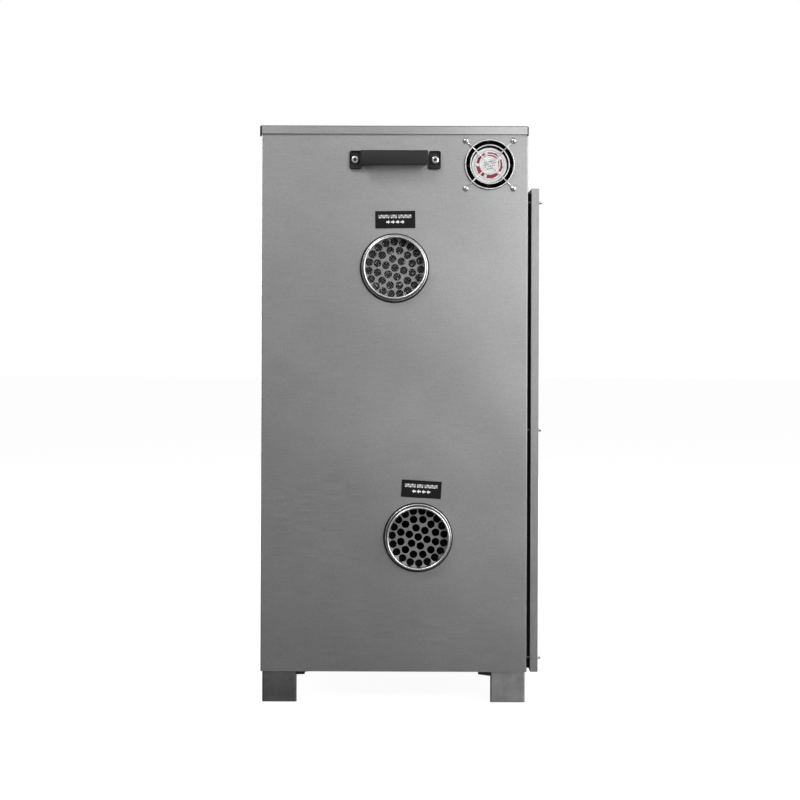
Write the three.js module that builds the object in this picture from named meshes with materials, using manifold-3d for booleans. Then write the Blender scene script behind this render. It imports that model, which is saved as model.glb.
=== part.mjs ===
// Small rotary desiccant dehumidifier: a stainless sheet-metal cabinet on four feet.
// Units are millimetres. +Z is up, +X is the front with the service cover, -Y is the left side
// with the regeneration air inlet and the wet air outlet. z = 0 is the floor.
import * as THREE from "three";
import { mergeVertices } from "three/addons/utils/BufferGeometryUtils.js";
import Module from "manifold-3d";

// ---- Cabinet ----
const DEPTH = 400; // along X
const WIDTH = 520; // along Y
const HEIGHT = 865; // floor to top of the lid
const SHEET = 1.2;
const SEAM = 0.3; // gap left between two pieces that seat on each other
const PAST = 3; // how far a cutting tool runs past a sheet on each side
const BEND = 2; // outside bend radius of the side panels
const RETURN = 15; // side panels' return flanges at the front and rear
const TRAY_LIP = 15;
const LID_OVERHANG = 4;
const LID_SKIRT = 12.3;
const SLOT_COUNT = 6; // cooling slots in the rear panel
const SLOT_LENGTH = 120;
const SLOT_HEIGHT = 4;
const SLOT_PITCH = 10;
const SLOTS_ABOVE_DECK = 28;

// ---- Feet ----
const FOOT_HEIGHT = 46;
const FOOT_X = 52;
const FOOT_Y = 50;
const FOOT_INSET = 2.5;
const FOOT_WALL = 2.5;
const FOOT_DRAFT = 5; // the inner side leans in by this much towards the machine's middle
const FOOT_ROUND = 3;
const SHARP_ROUND = 0.5; // the least radius of a bend's inside
const FOOT_FLANGE = 17;
const FOOT_FLANGE_INSET = 4; // from the foot's outer side
const FLANGE_SHEET = 1.5;

// ---- Service cover on the front ----
const COVER_TOP = 772;
const COVER_GAP = 5.2; // from the cabinet's front plane
const COVER_THICK = 11.4;
const COVER_INSET = 2; // from each side of the cabinet
const COVER_HEM = 32;
const GASKET_WIDTH = 14;
const GASKET_SIDE_INSET = 16;
const GASKET_TOP_INSET = 6.5;
const GASKET_BOTTOM_INSET = 2.6;
const FRAME_BORDER = 38.5;
const COVER_SCREW_SIDE = 8; // screw axis from the cover's vertical edge
const COVER_SCREW_END = 20.5; // screw axis from the cover's top and bottom
const COVER_SCREW_HEAD_R = 2.4;
const COVER_SCREW_HEAD = 4.6;
const COVER_SCREW_R = 1.9;
const COVER_SCREW_REACH = 9; // past the cabinet's front plane

// ---- Duct collars, screens and labels ----
const COLLAR_BORE_R = 44.6;
const COLLAR_R = 47.4;
const COLLAR_BEAD_R = 52.3;
const COLLAR_BEAD = 4.8;
const COLLAR_BEAD_DROP = 0.6; // the bead's height falls by this much towards the tube
const COLLAR_LENGTH = 18;
const COLLAR_SIDES = 32;
const COLLAR_FIT = 0.3; // radial, in the panel
const SCREEN_R = 54;
const SCREEN_SHEET = 1.2;
const SCREEN_HOLE_R = 5.6;
const SCREEN_RINGS = [
  { count: 1, radius: 0, start: 0 },
  { count: 6, radius: 13.9, start: 14 },
  { count: 12, radius: 27, start: 15 },
  { count: 19, radius: 39.3, start: 1.5 },
];
const FILTER_DISC_R = 50;
const FILTER_DISC = 4;
const LABEL_WIDTH = 60;
const LABEL_HEIGHT = 26;
const LABEL_THICK = 0.8;
const REGEN_INLET = { x: 0, z: 652 };
const WET_OUTLET = { x: 36.5, z: 248 };
const DRY_OUTLET = { x: 0, z: 676 };
const INLET_LABEL = { x: 0.5, z: 724.5, tilt: 0.8 };
const OUTLET_LABEL = { x: 41, z: 320, tilt: -3.3 };

// ---- Carrying handles ----
const HANDLE_Z = 814.5;
const HANDLE_LENGTH = 137.4;
const HANDLE_HOLES = 120;
const HANDLE_GRIP = 100; // length of the raised part
const HANDLE_WIDTH = 21.8;
const HANDLE_PAD_WIDTH = 25.8;
const HANDLE_PAD = 9;
const HANDLE_REACH = 38;
const HANDLE_BAR = 9;
const HANDLE_ROUND = 3;
const HANDLE_PAD_ROUND = 2;
const HANDLE_POCKET_R = 7;
const HANDLE_POCKET_FLOOR = 5;
const HANDLE_SCREW_R = 2.9;
const HANDLE_SCREW_HEAD_R = 6;
const HANDLE_SCREW_HEAD = 3.4;
const HANDLE_SCREW_LENGTH = 18;

// ---- Cooling fan of the electrical compartment ----
const FAN = { x: 141.8, z: 807.5 };
const FAN_SIZE = 80;
const FAN_HOLE_PITCH = 71.5;
const FAN_BORE_R = 38;
const FAN_DEPTH = 38;
const FAN_BASE_R = 26.5;
const FAN_BASE_TOP = 14; // below the panel's outer face
const FAN_BASE = 11;
const FAN_STRUT = 4;
const FAN_SHAFT_R = 4;
const FAN_BLADE = { width: 13, thick: 1.6, pitch: 38, clear: 1.6 };
const FAN_RUN = 0.5;
const FAN_BLADES = 7;
const GUARD_RINGS = [15, 29, 36.5];
const GUARD_WIRE_R = 1;
const GUARD_HEIGHT = 4.6;
const GUARD_EYE_R = 4.7;
const FAN_SCREW_R = 1.9;
const FAN_SCREW_HEAD_R = 3.9;
const FAN_SCREW_HEAD = 2.6;
const FAN_SCREW_LENGTH = 30;

// ---- Desiccant rotor and its drive ----
const ROTOR_R = 150;
const ROTOR_HEIGHT = 100;
const ROTOR_BOTTOM = 400;
const ROTOR_RUN = 0.5;
const ROTOR_CLEAR = 4; // between the rotor and the hole that it passes
const AXLE_R = 10;
const AXLE_COLLAR_R = 18;
const AXLE_NUT = { radius: 16, height: 4, tip: 7 };
const CASSETTE_Z = 440;
const CASSETTE_SHEET = 2;
const BEAM_WIDTH = 18;
const BEAM_HEIGHT = 8;
const BEAM_Z = 380;
const DRIVE = { x: -150, y: 200 };
const PULLEY_R = 18;
const PULLEY_FLANGE_R = 20;
const PULLEY_HEIGHT = 16;
const PULLEY_LIFT = 4; // above the cassette plate
const DRIVE_SHAFT_R = 4;
const DRIVE_SHAFT = 21;
const DRIVE_SHAFT_CLEAR = 2.5; // in the cassette plate
const MOTOR_R = 28;
const MOTOR_HEIGHT = 52;
const GEARBOX_HEIGHT = 20;
const PULLEY_LIP = 2;
const PULLEY_SLOPE = 1;
const BELT = 1.6;
const BELT_HEIGHT = 9;
const BELT_RUN = 0.5;

// ---- Regeneration air path ----
const DUCT_HALF = 105;
const DUCT_INNER_Y = -22; // the duct boxes end here, beside the rotor's axle
const ROTOR_SEAL = 2; // from the rotor's faces to the duct boxes
const HEATER_BOX_TOP = 716;
const HEATER_Z = 535;
const HEATER_HEIGHT = 40;
const HEATER_RODS = 8;
const HEATER_ROD_R = 6;
const HEATER_RAIL = 4;
const HEATER_END_GAP = { panel: 6, inner: 3 }; // from the duct box's two end walls
const OUTLET_FLANGE = 112;
const FLANGE_PLATE = 2;

// ---- Blowers: volute radii, depth along the axis, reach to the outlet flange ----
const VOLUTE_SHEET = 1.5;
const TONGUE = 35; // degrees
const MOTOR_CAN_R = 35;
const MOTOR_CAN = 25;
const STUB_R = 7.5;
const STUB = 22;
const STUB_RUN = 0.5;
const REGEN_BLOWER = { inner: 62, outer: 95, depth: 60, reach: 113, wheel: 55, inlet: 44 };
const PROCESS_BLOWER = { inner: 74, outer: 110, depth: 84, reach: 118, wheel: 67, inlet: 52 };
const WHEEL_BLADES = 12;
const WHEEL_SHEET = 2;
const WHEEL_RIM = 0.8; // the rim's inner radius as a share of the wheel's
const WHEEL_CLEAR = 3;

// ---- Process air filter on the right side ----
const FILTER_Z = 205;
const FILTER_SIZE = 250;
const FILTER_THICK = 20;
const FILTER_RUN = 0.5;
const HOLDER_SHEET = 1.5;
const HOLDER_LIP = 10;
const FILTER_TAB = { width: 60, height: 14, thick: 2 };
const FILTER_OPENING = 226;

// ---- Controls and electrical compartment ----
const DECK_Z = 745;
const DECK_LIP = 12;
const CONTROL_Z = 812;
const CONTROL_HOLE_R = 11.2;
const PLUNGER_R = 10.8;
const PLUNGER_BEHIND = 14; // behind the control panel's face
const BUTTON = { reach: 6.8, edge: 1.4 };
const KNOB_R = 15;
const KNOB_HEIGHT = 6.5;
const KNOB_EDGE = 1.5;
const KNOB_GRIP = { width: 7, length: 26, reach: 18 };
const DISPLAY = { y: -60, width: 96, height: 48, bezel: 6, body: 55, cut: 91, cutHeight: 44 };
const START_Y = 40;
const SWITCH_Y = 105;
const STOP_Y = 180;
const STOP_HEAD_R = 19;
const STOP_HEAD = { back: 14, side: 7, dome: 1.5 }; // its underside, rim and the crown's rise
const STOP_REACH = 27.5;
const CONTACTOR = { x: -60, y: 60, width: 90, depth: 120, height: 70 };
const CONTACTOR_STEP = { from: 35, to: 42 }; // the narrow upper part starts inside the wide one
const RAIL = { width: 35, length: 180, height: 7.5, sunk: 1.5 };
const GLAND = { y: 180, z: 790, bore: 10.2, reach: 19 };
const GLAND_BODY = { clear: 0.4, behind: 12, flange: 14, flangeHeight: 6, nut: 12.5, nutTop: 15, seal: 9 };

const halfDepth = DEPTH / 2;
const halfWidth = WIDTH / 2;
const innerHalfX = halfDepth - SHEET - SEAM - SHEET; // inside the front and rear sheets
const innerHalfY = halfWidth - SHEET;
const seatY = innerHalfY - SEAM;
const coverBack = halfDepth + COVER_GAP;
const coverFace = coverBack + COVER_THICK;
const screwTip = coverFace + SEAM + COVER_SCREW_HEAD;

// ---- Solid modelling helpers ----
const wasm = await Module();
wasm.setup();

function solid(geometry) {
  const bare = geometry.index ? geometry.toNonIndexed() : geometry.clone();
  bare.deleteAttribute("normal");
  bare.deleteAttribute("uv");
  const merged = mergeVertices(bare, 1e-4);
  return new wasm.Manifold(
    new wasm.Mesh({
      numProp: 3,
      vertProperties: merged.attributes.position.array,
      triVerts: new Uint32Array(merged.index.array),
    }),
  );
}

function geometryOf(manifold) {
  const mesh = manifold.getMesh();
  const made = new THREE.BufferGeometry();
  made.setAttribute("position", new THREE.BufferAttribute(mesh.vertProperties, 3));
  made.setIndex(new THREE.BufferAttribute(mesh.triVerts, 1));
  const faceted = made.toNonIndexed();
  faceted.computeVertexNormals();
  return faceted;
}

function join(...pieces) {
  return geometryOf(pieces.map(solid).reduce((whole, piece) => whole.add(piece)));
}

function cut(body, ...tools) {
  return geometryOf(tools.map(solid).reduce((left, tool) => left.subtract(tool), solid(body)));
}

// A box between two corners.
function slab(x0, x1, y0, y1, z0, z1) {
  const box = new THREE.BoxGeometry(x1 - x0, y1 - y0, z1 - z0);
  return box.translate((x0 + x1) / 2, (y0 + y1) / 2, (z0 + z1) / 2);
}

// A cylinder along Z between two heights.
function rod(radius, z0, z1, x = 0, y = 0, sides = 24) {
  const made = new THREE.CylinderGeometry(radius, radius, z1 - z0, sides);
  return made.rotateX(Math.PI / 2).translate(x, y, (z0 + z1) / 2);
}

// A cylinder along X, or along Y, between two places.
function rodX(radius, x0, x1, y, z, sides = 16) {
  return rod(radius, x0, x1, 0, 0, sides).rotateY(Math.PI / 2).translate(0, y, z);
}
function rodY(radius, y0, y1, x, z, sides = 16) {
  return rod(radius, -y1, -y0, 0, 0, sides).rotateX(Math.PI / 2).translate(x, 0, z);
}

// A profile of [radius, height] pairs turned about Z.
function turned(profile, sides = 24) {
  const points = profile.map(([radius, height]) => new THREE.Vector2(radius, height));
  return new THREE.LatheGeometry(points, sides).rotateX(Math.PI / 2);
}

function extruded(shape, z0, z1, curveSegments = 4) {
  const made = new THREE.ExtrudeGeometry(shape, {
    depth: z1 - z0,
    bevelEnabled: false,
    curveSegments,
  });
  return made.translate(0, 0, z0);
}

function polygon(points) {
  return new THREE.Shape(points.map(([x, y]) => new THREE.Vector2(x, y)));
}

// A thin box open on one side: the outer box less an inner box that runs out past that side.
function shell(outer, wall, openSide) {
  const inner = outer.map((edge, i) => edge + (i % 2 ? -wall : wall));
  const past = openSide % 2 ? 1 : -1;
  inner[openSide] = outer[openSide] + past;
  return cut(slab(...outer), slab(...inner));
}
const OPEN_BOTTOM = 4;
const OPEN_TOP = 5;

// ---- Materials ----
const finish = (color, roughness, metalness) =>
  new THREE.MeshStandardMaterial({ color, roughness, metalness, flatShading: true });
const stainless = finish(0x9b9c9c, 0.42, 1);
const brightSteel = finish(0xc9cbcc, 0.22, 1);
const galvanised = finish(0xa4a8aa, 0.5, 1);
const blackPlastic = finish(0x1d1d1e, 0.55, 0);
const rubber = finish(0x0c0c0c, 0.8, 0);
const labelBlack = finish(0x1e1e20, 0.45, 0);
const whitePlastic = finish(0xd9dad8, 0.5, 0);
const honeycomb = finish(0xcfc9b4, 0.9, 0);
const filterMedia = finish(0xe4e4de, 0.95, 0);
const blackPaint = finish(0x1c1c1d, 0.6, 0);
const motorGrey = finish(0x55585c, 0.5, 0.6);
const heaterSteel = finish(0x6d6258, 0.45, 1);
const startGreen = finish(0x1f8f3c, 0.4, 0);
const stopRed = finish(0xb41f1f, 0.4, 0);

// ---- Assembly ----
const machine = new THREE.Group();

// A mesh with its node's name, placed in its parent group.
function add(name, geometry, material, parent = machine, x = 0, y = 0, z = 0) {
  const mesh = new THREE.Mesh(geometry, material);
  mesh.name = name;
  mesh.position.set(x, y, z);
  parent.add(mesh);
  return mesh;
}

// A group on one face of the cabinet: its own +Z points out of the face and its +Y points up.
const LEFT = [Math.PI / 2, 0];
const RIGHT = [Math.PI / 2, Math.PI];
const FRONT = [Math.PI / 2, Math.PI / 2];
const REAR = [Math.PI / 2, -Math.PI / 2];
function onFace([aboutX, aboutY], x, y, z) {
  const group = new THREE.Group();
  group.position.set(x, y, z);
  group.rotation.set(aboutX, aboutY, 0);
  machine.add(group);
  return group;
}

// ---- Sheet-metal cabinet ----
const lidInside = HEIGHT - SHEET;
const panelTop = lidInside - SEAM;
const coverHalf = halfWidth - COVER_INSET;
const coverScrewY = coverHalf - COVER_SCREW_SIDE;
const coverScrewZ = [
  FOOT_HEIGHT + COVER_SCREW_END,
  (FOOT_HEIGHT + COVER_TOP) / 2,
  COVER_TOP - COVER_SCREW_END,
];

// The plan of a side panel: a flat sheet with a return flange bent inwards at each end.
function sidePanelPlan() {
  const edge = halfDepth;
  const outside = -halfWidth;
  const flange = outside + RETURN;
  const inner = BEND - SHEET;
  const plan = new THREE.Shape();
  plan.moveTo(-edge, flange);
  plan.lineTo(-edge, outside + BEND);
  plan.absarc(-edge + BEND, outside + BEND, BEND, Math.PI, 1.5 * Math.PI, false);
  plan.absarc(edge - BEND, outside + BEND, BEND, 1.5 * Math.PI, 2 * Math.PI, false);
  plan.lineTo(edge, flange);
  plan.lineTo(edge - SHEET, flange);
  plan.absarc(edge - BEND, outside + BEND, inner, 2 * Math.PI, 1.5 * Math.PI, true);
  plan.absarc(-edge + BEND, outside + BEND, inner, 1.5 * Math.PI, Math.PI, true);
  plan.lineTo(-edge + SHEET, flange);
  return plan;
}

// Holes along Y through a side panel's sheet, on the side that the sign says.
const throughSide = (side, radius, x, z, sides) =>
  rodY(radius, side * halfWidth - PAST, side * halfWidth + PAST, x, z, sides);
const handleHoles = (side) =>
  [-1, 1].map((end) =>
    throughSide(side, HANDLE_SCREW_R + SEAM, (end * HANDLE_HOLES) / 2, HANDLE_Z, 12),
  );
const coverScrewHoles = (side) =>
  coverScrewZ.map((z) =>
    rodX(COVER_SCREW_R + SEAM, innerHalfX - 1, halfDepth + 1, side * coverScrewY, z, 8),
  );
const collarHole = (side, place) =>
  throughSide(side, COLLAR_R + COLLAR_FIT, place.x, place.z, COLLAR_SIDES);

const fanCorners = [-1, 1].flatMap((a) =>
  [-1, 1].map((b) => [(a * FAN_HOLE_PITCH) / 2, (b * FAN_HOLE_PITCH) / 2]),
);

function leftPanel() {
  return cut(
    extruded(sidePanelPlan(), FOOT_HEIGHT, panelTop),
    collarHole(-1, REGEN_INLET),
    collarHole(-1, WET_OUTLET),
    throughSide(-1, FAN_BORE_R, FAN.x, FAN.z, 32),
    ...fanCorners.map(([dx, dz]) =>
      throughSide(-1, FAN_SCREW_R + SEAM, FAN.x + dx, FAN.z + dz, 10),
    ),
    ...handleHoles(-1),
    ...coverScrewHoles(-1),
  );
}

function rightPanel() {
  const half = FILTER_OPENING / 2;
  return cut(
    extruded(sidePanelPlan(), FOOT_HEIGHT, panelTop).rotateZ(Math.PI),
    collarHole(1, DRY_OUTLET),
    slab(-half, half, innerHalfY - PAST, halfWidth + PAST, FILTER_Z - half, FILTER_Z + half),
    ...handleHoles(1),
    ...coverScrewHoles(1),
  );
}

function rearPanel() {
  const x = -innerHalfX;
  const slots = Array.from({ length: SLOT_COUNT }, (_, i) => {
    const z = DECK_Z + SLOTS_ABOVE_DECK + i * SLOT_PITCH;
    return slab(x - PAST, x + PAST, -SLOT_LENGTH / 2, SLOT_LENGTH / 2, z, z + SLOT_HEIGHT);
  });
  const sheet = slab(x - SHEET, x, -seatY, seatY, FOOT_HEIGHT, panelTop);
  return cut(sheet, rodX(GLAND.bore, x - PAST, x + PAST, GLAND.y, GLAND.z, 20), ...slots);
}

function frontFrame() {
  const x = innerHalfX;
  const top = COVER_TOP + SEAM;
  return cut(
    slab(x, x + SHEET, -seatY, seatY, FOOT_HEIGHT, top),
    slab(
      x - PAST,
      x + PAST,
      FRAME_BORDER - seatY,
      seatY - FRAME_BORDER,
      FOOT_HEIGHT + FRAME_BORDER,
      top - FRAME_BORDER,
    ),
    ...[-1, 1].flatMap((side) => coverScrewHoles(side)),
  );
}

function controlPanel() {
  const x = innerHalfX;
  const hole = (y) => rodX(CONTROL_HOLE_R, x - PAST, x + PAST, y, CONTROL_Z, 24);
  const halfCut = (DISPLAY.cut + 1) / 2;
  const halfCutHeight = (DISPLAY.cutHeight + 1) / 2;
  return cut(
    slab(x, x + SHEET, -seatY, seatY, COVER_TOP + 2 * SEAM, panelTop),
    slab(
      x - PAST,
      x + PAST,
      DISPLAY.y - halfCut,
      DISPLAY.y + halfCut,
      CONTROL_Z - halfCutHeight,
      CONTROL_Z + halfCutHeight,
    ),
    hole(START_Y),
    hole(SWITCH_Y),
    hole(STOP_Y),
  );
}

function addCabinet() {
  const trayX = innerHalfX - SEAM;
  const tray = [-trayX, trayX, -seatY, seatY, FOOT_HEIGHT, FOOT_HEIGHT + TRAY_LIP];
  add("base_tray", shell(tray, SHEET, OPEN_TOP), galvanised);
  add("left_panel", leftPanel(), stainless);
  add("right_panel", rightPanel(), stainless);
  add("rear_panel", rearPanel(), stainless);
  add("front_frame", frontFrame(), stainless);
  add("control_panel", controlPanel(), stainless);
  const lidX = halfDepth + LID_OVERHANG;
  const lidY = halfWidth + LID_OVERHANG;
  const lid = [-lidX, lidX, -lidY, lidY, HEIGHT - LID_SKIRT, HEIGHT];
  add("top_lid", shell(lid, SHEET, OPEN_BOTTOM), stainless);
  const deck = [-trayX, trayX, -seatY, seatY, DECK_Z - DECK_LIP, DECK_Z];
  add("electrical_deck", shell(deck, SHEET, OPEN_BOTTOM), galvanised);
}

// ---- Feet: pressed boxes with a bolting flange that points to the middle ----
// A foot's plan: square outside, with an inner side that leans in. inset shrinks it all round.
function footPlan(inset) {
  const x0 = inset - FOOT_X / 2;
  const x1 = FOOT_X / 2 - inset;
  const y0 = inset - FOOT_Y / 2;
  const y1 = FOOT_Y / 2 - inset;
  const round = Math.max(FOOT_ROUND - inset, SHARP_ROUND);
  const plan = new THREE.Shape();
  plan.moveTo(x0 + FOOT_DRAFT, y1);
  plan.lineTo(x0, y0 + round);
  plan.absarc(x0 + round, y0 + round, round, Math.PI, 1.5 * Math.PI, false);
  plan.absarc(x1 - round, y0 + round, round, 1.5 * Math.PI, 2 * Math.PI, false);
  plan.lineTo(x1, y1);
  return plan;
}

// The front left foot. A mirrored copy of it stands at each of the other corners.
function foot(front, left) {
  const top = FOOT_HEIGHT - SEAM;
  const half = FOOT_Y / 2;
  const box = cut(
    extruded(footPlan(0), 0, top),
    extruded(footPlan(FOOT_WALL), FOOT_WALL, top + 1),
  );
  const near = FOOT_FLANGE_INSET - half;
  const seat = FOOT_DRAFT + 1 - FOOT_X / 2; // where the flange meets the leaning side
  const end = -FOOT_X / 2 - FOOT_FLANGE;
  const flange = slab(end, seat, near, half, top - FLANGE_SHEET, top);
  const neck = slab(seat - 1, seat, near, half, top - 2 * FLANGE_SHEET, top);
  const whole = join(box, flange, neck);
  const mirror = solid(whole).scale([front ? 1 : -1, left ? 1 : -1, 1]);
  return geometryOf(mirror);
}

function addFeet() {
  const x = halfDepth - FOOT_INSET - FOOT_X / 2;
  const y = halfWidth - FOOT_INSET - FOOT_Y / 2;
  add("foot_front_left", foot(true, true), stainless, machine, x, -y, 0);
  add("foot_front_right", foot(true, false), stainless, machine, x, y, 0);
  add("foot_rear_left", foot(false, true), stainless, machine, -x, -y, 0);
  add("foot_rear_right", foot(false, false), stainless, machine, -x, y, 0);
}

// ---- Duct collars with perforated screens ----
function collar() {
  const r = COLLAR_R;
  const bead = COLLAR_BEAD_R;
  return turned(
    [
      [COLLAR_BORE_R, -SHEET],
      [r, -SHEET],
      [r, SEAM],
      [bead, SEAM],
      [bead, COLLAR_BEAD / 2],
      [(r + bead) / 2, COLLAR_BEAD],
      [r, COLLAR_BEAD - COLLAR_BEAD_DROP],
      [r, COLLAR_LENGTH],
      [COLLAR_BORE_R, COLLAR_LENGTH],
      [COLLAR_BORE_R, -SHEET],
    ],
    COLLAR_SIDES,
  );
}

// turn is in degrees; angles run clockwise from the top, seen from outside.
function screen(turn) {
  const holes = SCREEN_RINGS.flatMap(({ count, radius, start }) =>
    Array.from({ length: count }, (_, i) => {
      const angle = THREE.MathUtils.degToRad(turn - start + (i * 360) / count);
      const x = radius * Math.sin(angle);
      const y = radius * Math.cos(angle);
      return rod(SCREEN_HOLE_R, -SCREEN_SHEET, SCREEN_SHEET * 2, x, y, 8);
    }),
  );
  return cut(rod(SCREEN_R, 0, SCREEN_SHEET, 0, 0, COLLAR_SIDES), ...holes);
}

function addDuctwork() {
  const behindPanel = -SHEET - SEAM - SCREEN_SHEET;
  const inlet = onFace(LEFT, REGEN_INLET.x, -halfWidth, REGEN_INLET.z);
  add("regen_inlet_collar", collar(), brightSteel, inlet);
  add("regen_inlet_screen", screen(0), stainless, inlet, 0, 0, behindPanel);
  const disc = rod(FILTER_DISC_R, -FILTER_DISC, 0, 0, 0, COLLAR_SIDES);
  add("regen_inlet_filter", disc, blackPlastic, inlet, 0, 0, behindPanel - SEAM);
  const wet = onFace(LEFT, WET_OUTLET.x, -halfWidth, WET_OUTLET.z);
  add("wet_outlet_collar", collar(), brightSteel, wet);
  add("wet_outlet_screen", screen(180), stainless, wet, 0, 0, behindPanel);
  const dry = onFace(RIGHT, DRY_OUTLET.x, halfWidth, DRY_OUTLET.z);
  add("dry_outlet_collar", collar(), brightSteel, dry);
}

function addLabels() {
  const places = { regen_inlet_label: INLET_LABEL, wet_outlet_label: OUTLET_LABEL };
  for (const [name, { x, z, tilt }] of Object.entries(places)) {
    const face = onFace(LEFT, x, -halfWidth, z);
    const plate = slab(
      -LABEL_WIDTH / 2,
      LABEL_WIDTH / 2,
      -LABEL_HEIGHT / 2,
      LABEL_HEIGHT / 2,
      SEAM,
      SEAM + LABEL_THICK,
    );
    const mesh = add(name, plate, labelBlack, face);
    mesh.rotation.z = THREE.MathUtils.degToRad(tilt);
  }
}

// ---- Bridge handle with a screw pocket in each pad ----
function handleProfile() {
  const end = HANDLE_LENGTH / 2;
  const leg = HANDLE_GRIP / 2;
  const inside = leg - HANDLE_BAR;
  const under = HANDLE_REACH - HANDLE_BAR;
  const round = HANDLE_ROUND;
  const small = HANDLE_PAD_ROUND;
  const profile = new THREE.Shape();
  profile.moveTo(end, SEAM);
  profile.absarc(end - small, HANDLE_PAD - small, small, 0, Math.PI / 2, false);
  profile.lineTo(leg, HANDLE_PAD);
  profile.absarc(leg - round, HANDLE_REACH - round, round, 0, Math.PI / 2, false);
  profile.absarc(round - leg, HANDLE_REACH - round, round, Math.PI / 2, Math.PI, false);
  profile.lineTo(-leg, HANDLE_PAD);
  profile.absarc(small - end, HANDLE_PAD - small, small, Math.PI / 2, Math.PI, false);
  profile.lineTo(-end, SEAM);
  profile.lineTo(-inside, SEAM);
  profile.lineTo(-inside, under);
  profile.lineTo(inside, under);
  profile.lineTo(inside, SEAM);
  return profile;
}

function handle() {
  const half = HANDLE_WIDTH / 2;
  const halfPad = HANDLE_PAD_WIDTH / 2;
  const bridge = extruded(handleProfile(), -half, half).rotateX(Math.PI / 2);
  const at = HANDLE_HOLES / 2;
  const pads = [-1, 1].map((end) => {
    const outer = (end * HANDLE_LENGTH) / 2;
    const inner = (end * HANDLE_GRIP) / 2;
    return slab(
      Math.min(outer, inner),
      Math.max(outer, inner),
      -halfPad,
      halfPad,
      SEAM,
      HANDLE_PAD,
    );
  });
  const pockets = [-1, 1].flatMap((end) => [
    rod(HANDLE_SCREW_R + SEAM, -1, HANDLE_PAD + 1, end * at, 0, 12),
    rod(HANDLE_POCKET_R, HANDLE_POCKET_FLOOR, HANDLE_PAD + 1, end * at, 0, 16),
  ]);
  return cut(join(bridge, ...pads), ...pockets);
}

// A pan-head screw whose head's underside is at z = 0.
const panScrew = (shankR, headR, head, length, sides = 12) =>
  turned(
    [
      [0, -length],
      [shankR, -length],
      [shankR, 0],
      [headR, 0],
      [headR, head * 0.5],
      [headR * 0.7, head],
      [0, head],
    ],
    sides,
  );

function addHandles() {
  const left = onFace(LEFT, 0, -halfWidth, HANDLE_Z);
  add("left_handle", handle(), blackPlastic, left);
  const screw = () =>
    panScrew(HANDLE_SCREW_R, HANDLE_SCREW_HEAD_R, HANDLE_SCREW_HEAD, HANDLE_SCREW_LENGTH);
  const seat = HANDLE_POCKET_FLOOR + SEAM;
  [-1, 1].forEach((end, i) => {
    const x = (end * HANDLE_HOLES) / 2;
    add(`left_handle_screw_${i + 1}`, screw(), brightSteel, left, x, 0, seat);
  });
  const right = onFace(RIGHT, 0, halfWidth, HANDLE_Z);
  add("right_handle", handle(), blackPlastic, right);
}

// ---- Cooling fan: frame with motor base, wheel, wire guard and screws ----
function fanFrame() {
  const half = FAN_SIZE / 2;
  const top = -SHEET - SEAM;
  const bottom = top - FAN_DEPTH;
  const baseTop = -FAN_BASE_TOP;
  const baseBottom = baseTop - FAN_BASE;
  const ring = cut(
    slab(-half, half, -half, half, bottom, top),
    rod(FAN_BORE_R, bottom - 1, top + 1, 0, 0, 32),
    ...fanCorners.map(([x, y]) => rod(FAN_SCREW_R + SEAM, bottom - 1, top + 1, x, y, 10)),
  );
  const w = FAN_STRUT / 2;
  const strut = slab(FAN_BASE_R - 2, FAN_BORE_R + 1, -w, w, baseBottom, baseTop - FAN_STRUT);
  const struts = [0, 1, 2, 3].map((i) => strut.clone().rotateZ((i * Math.PI) / 2));
  const base = rod(FAN_BASE_R, baseBottom, baseTop, 0, 0, 32);
  const shaft = rod(FAN_SHAFT_R, bottom + 2, baseBottom + 1, 0, 0, 12);
  return join(ring, base, shaft, ...struts);
}

function fanWheel() {
  const bottom = -SHEET - SEAM - FAN_DEPTH + 1;
  const top = -FAN_BASE_TOP - FAN_BASE - 1;
  const middle = (top + bottom) / 2;
  const hub = cut(
    rod(FAN_BASE_R - 2, bottom, top, 0, 0, 28),
    rod(FAN_SHAFT_R + FAN_RUN, bottom - 1, top + 1, 0, 0, 12),
  );
  const { width, thick, pitch, clear } = FAN_BLADE;
  const from = FAN_BASE_R - 4;
  const tip = FAN_BORE_R - clear - SHARP_ROUND;
  const blades = Array.from({ length: FAN_BLADES }, (_, i) => {
    const blade = slab(from, tip, -width / 2, width / 2, -thick / 2, thick / 2);
    blade.rotateX(THREE.MathUtils.degToRad(pitch));
    return blade.rotateZ((i * 2 * Math.PI) / FAN_BLADES).translate(0, 0, middle);
  });
  return join(hub, ...blades);
}

function fanGuard() {
  const rings = GUARD_RINGS.map((radius) =>
    new THREE.TorusGeometry(radius, GUARD_WIRE_R, 5, 24).translate(0, 0, GUARD_HEIGHT),
  );
  const corner = FAN_HOLE_PITCH / Math.SQRT2;
  const outer = GUARD_RINGS.at(-1);
  const eyeTop = SEAM + 2 * GUARD_WIRE_R;
  const low = SEAM + GUARD_WIRE_R;
  const arms = [45, 135, 225, 315].flatMap((degrees) => {
    const turn = THREE.MathUtils.degToRad(degrees);
    const w = GUARD_WIRE_R * 0.9;
    const inner = slab(0, outer, -w, w, GUARD_HEIGHT - w, GUARD_HEIGHT + w);
    const run = corner - GUARD_EYE_R + 1 - outer;
    const slope = Math.hypot(run, GUARD_HEIGHT - low);
    const legArm = slab(-0.5, slope, -w, w, -w, w);
    legArm.rotateY(Math.atan2(GUARD_HEIGHT - low, run)).translate(outer, 0, GUARD_HEIGHT);
    const eye = rod(GUARD_EYE_R, SEAM, eyeTop, corner, 0, 16);
    return [inner, legArm, eye].map((piece) => piece.rotateZ(turn));
  });
  const holes = fanCorners.map(([x, y]) => rod(FAN_SCREW_R + SEAM, -1, eyeTop + 1, x, y, 10));
  return cut(join(...rings, ...arms), ...holes);
}

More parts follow.
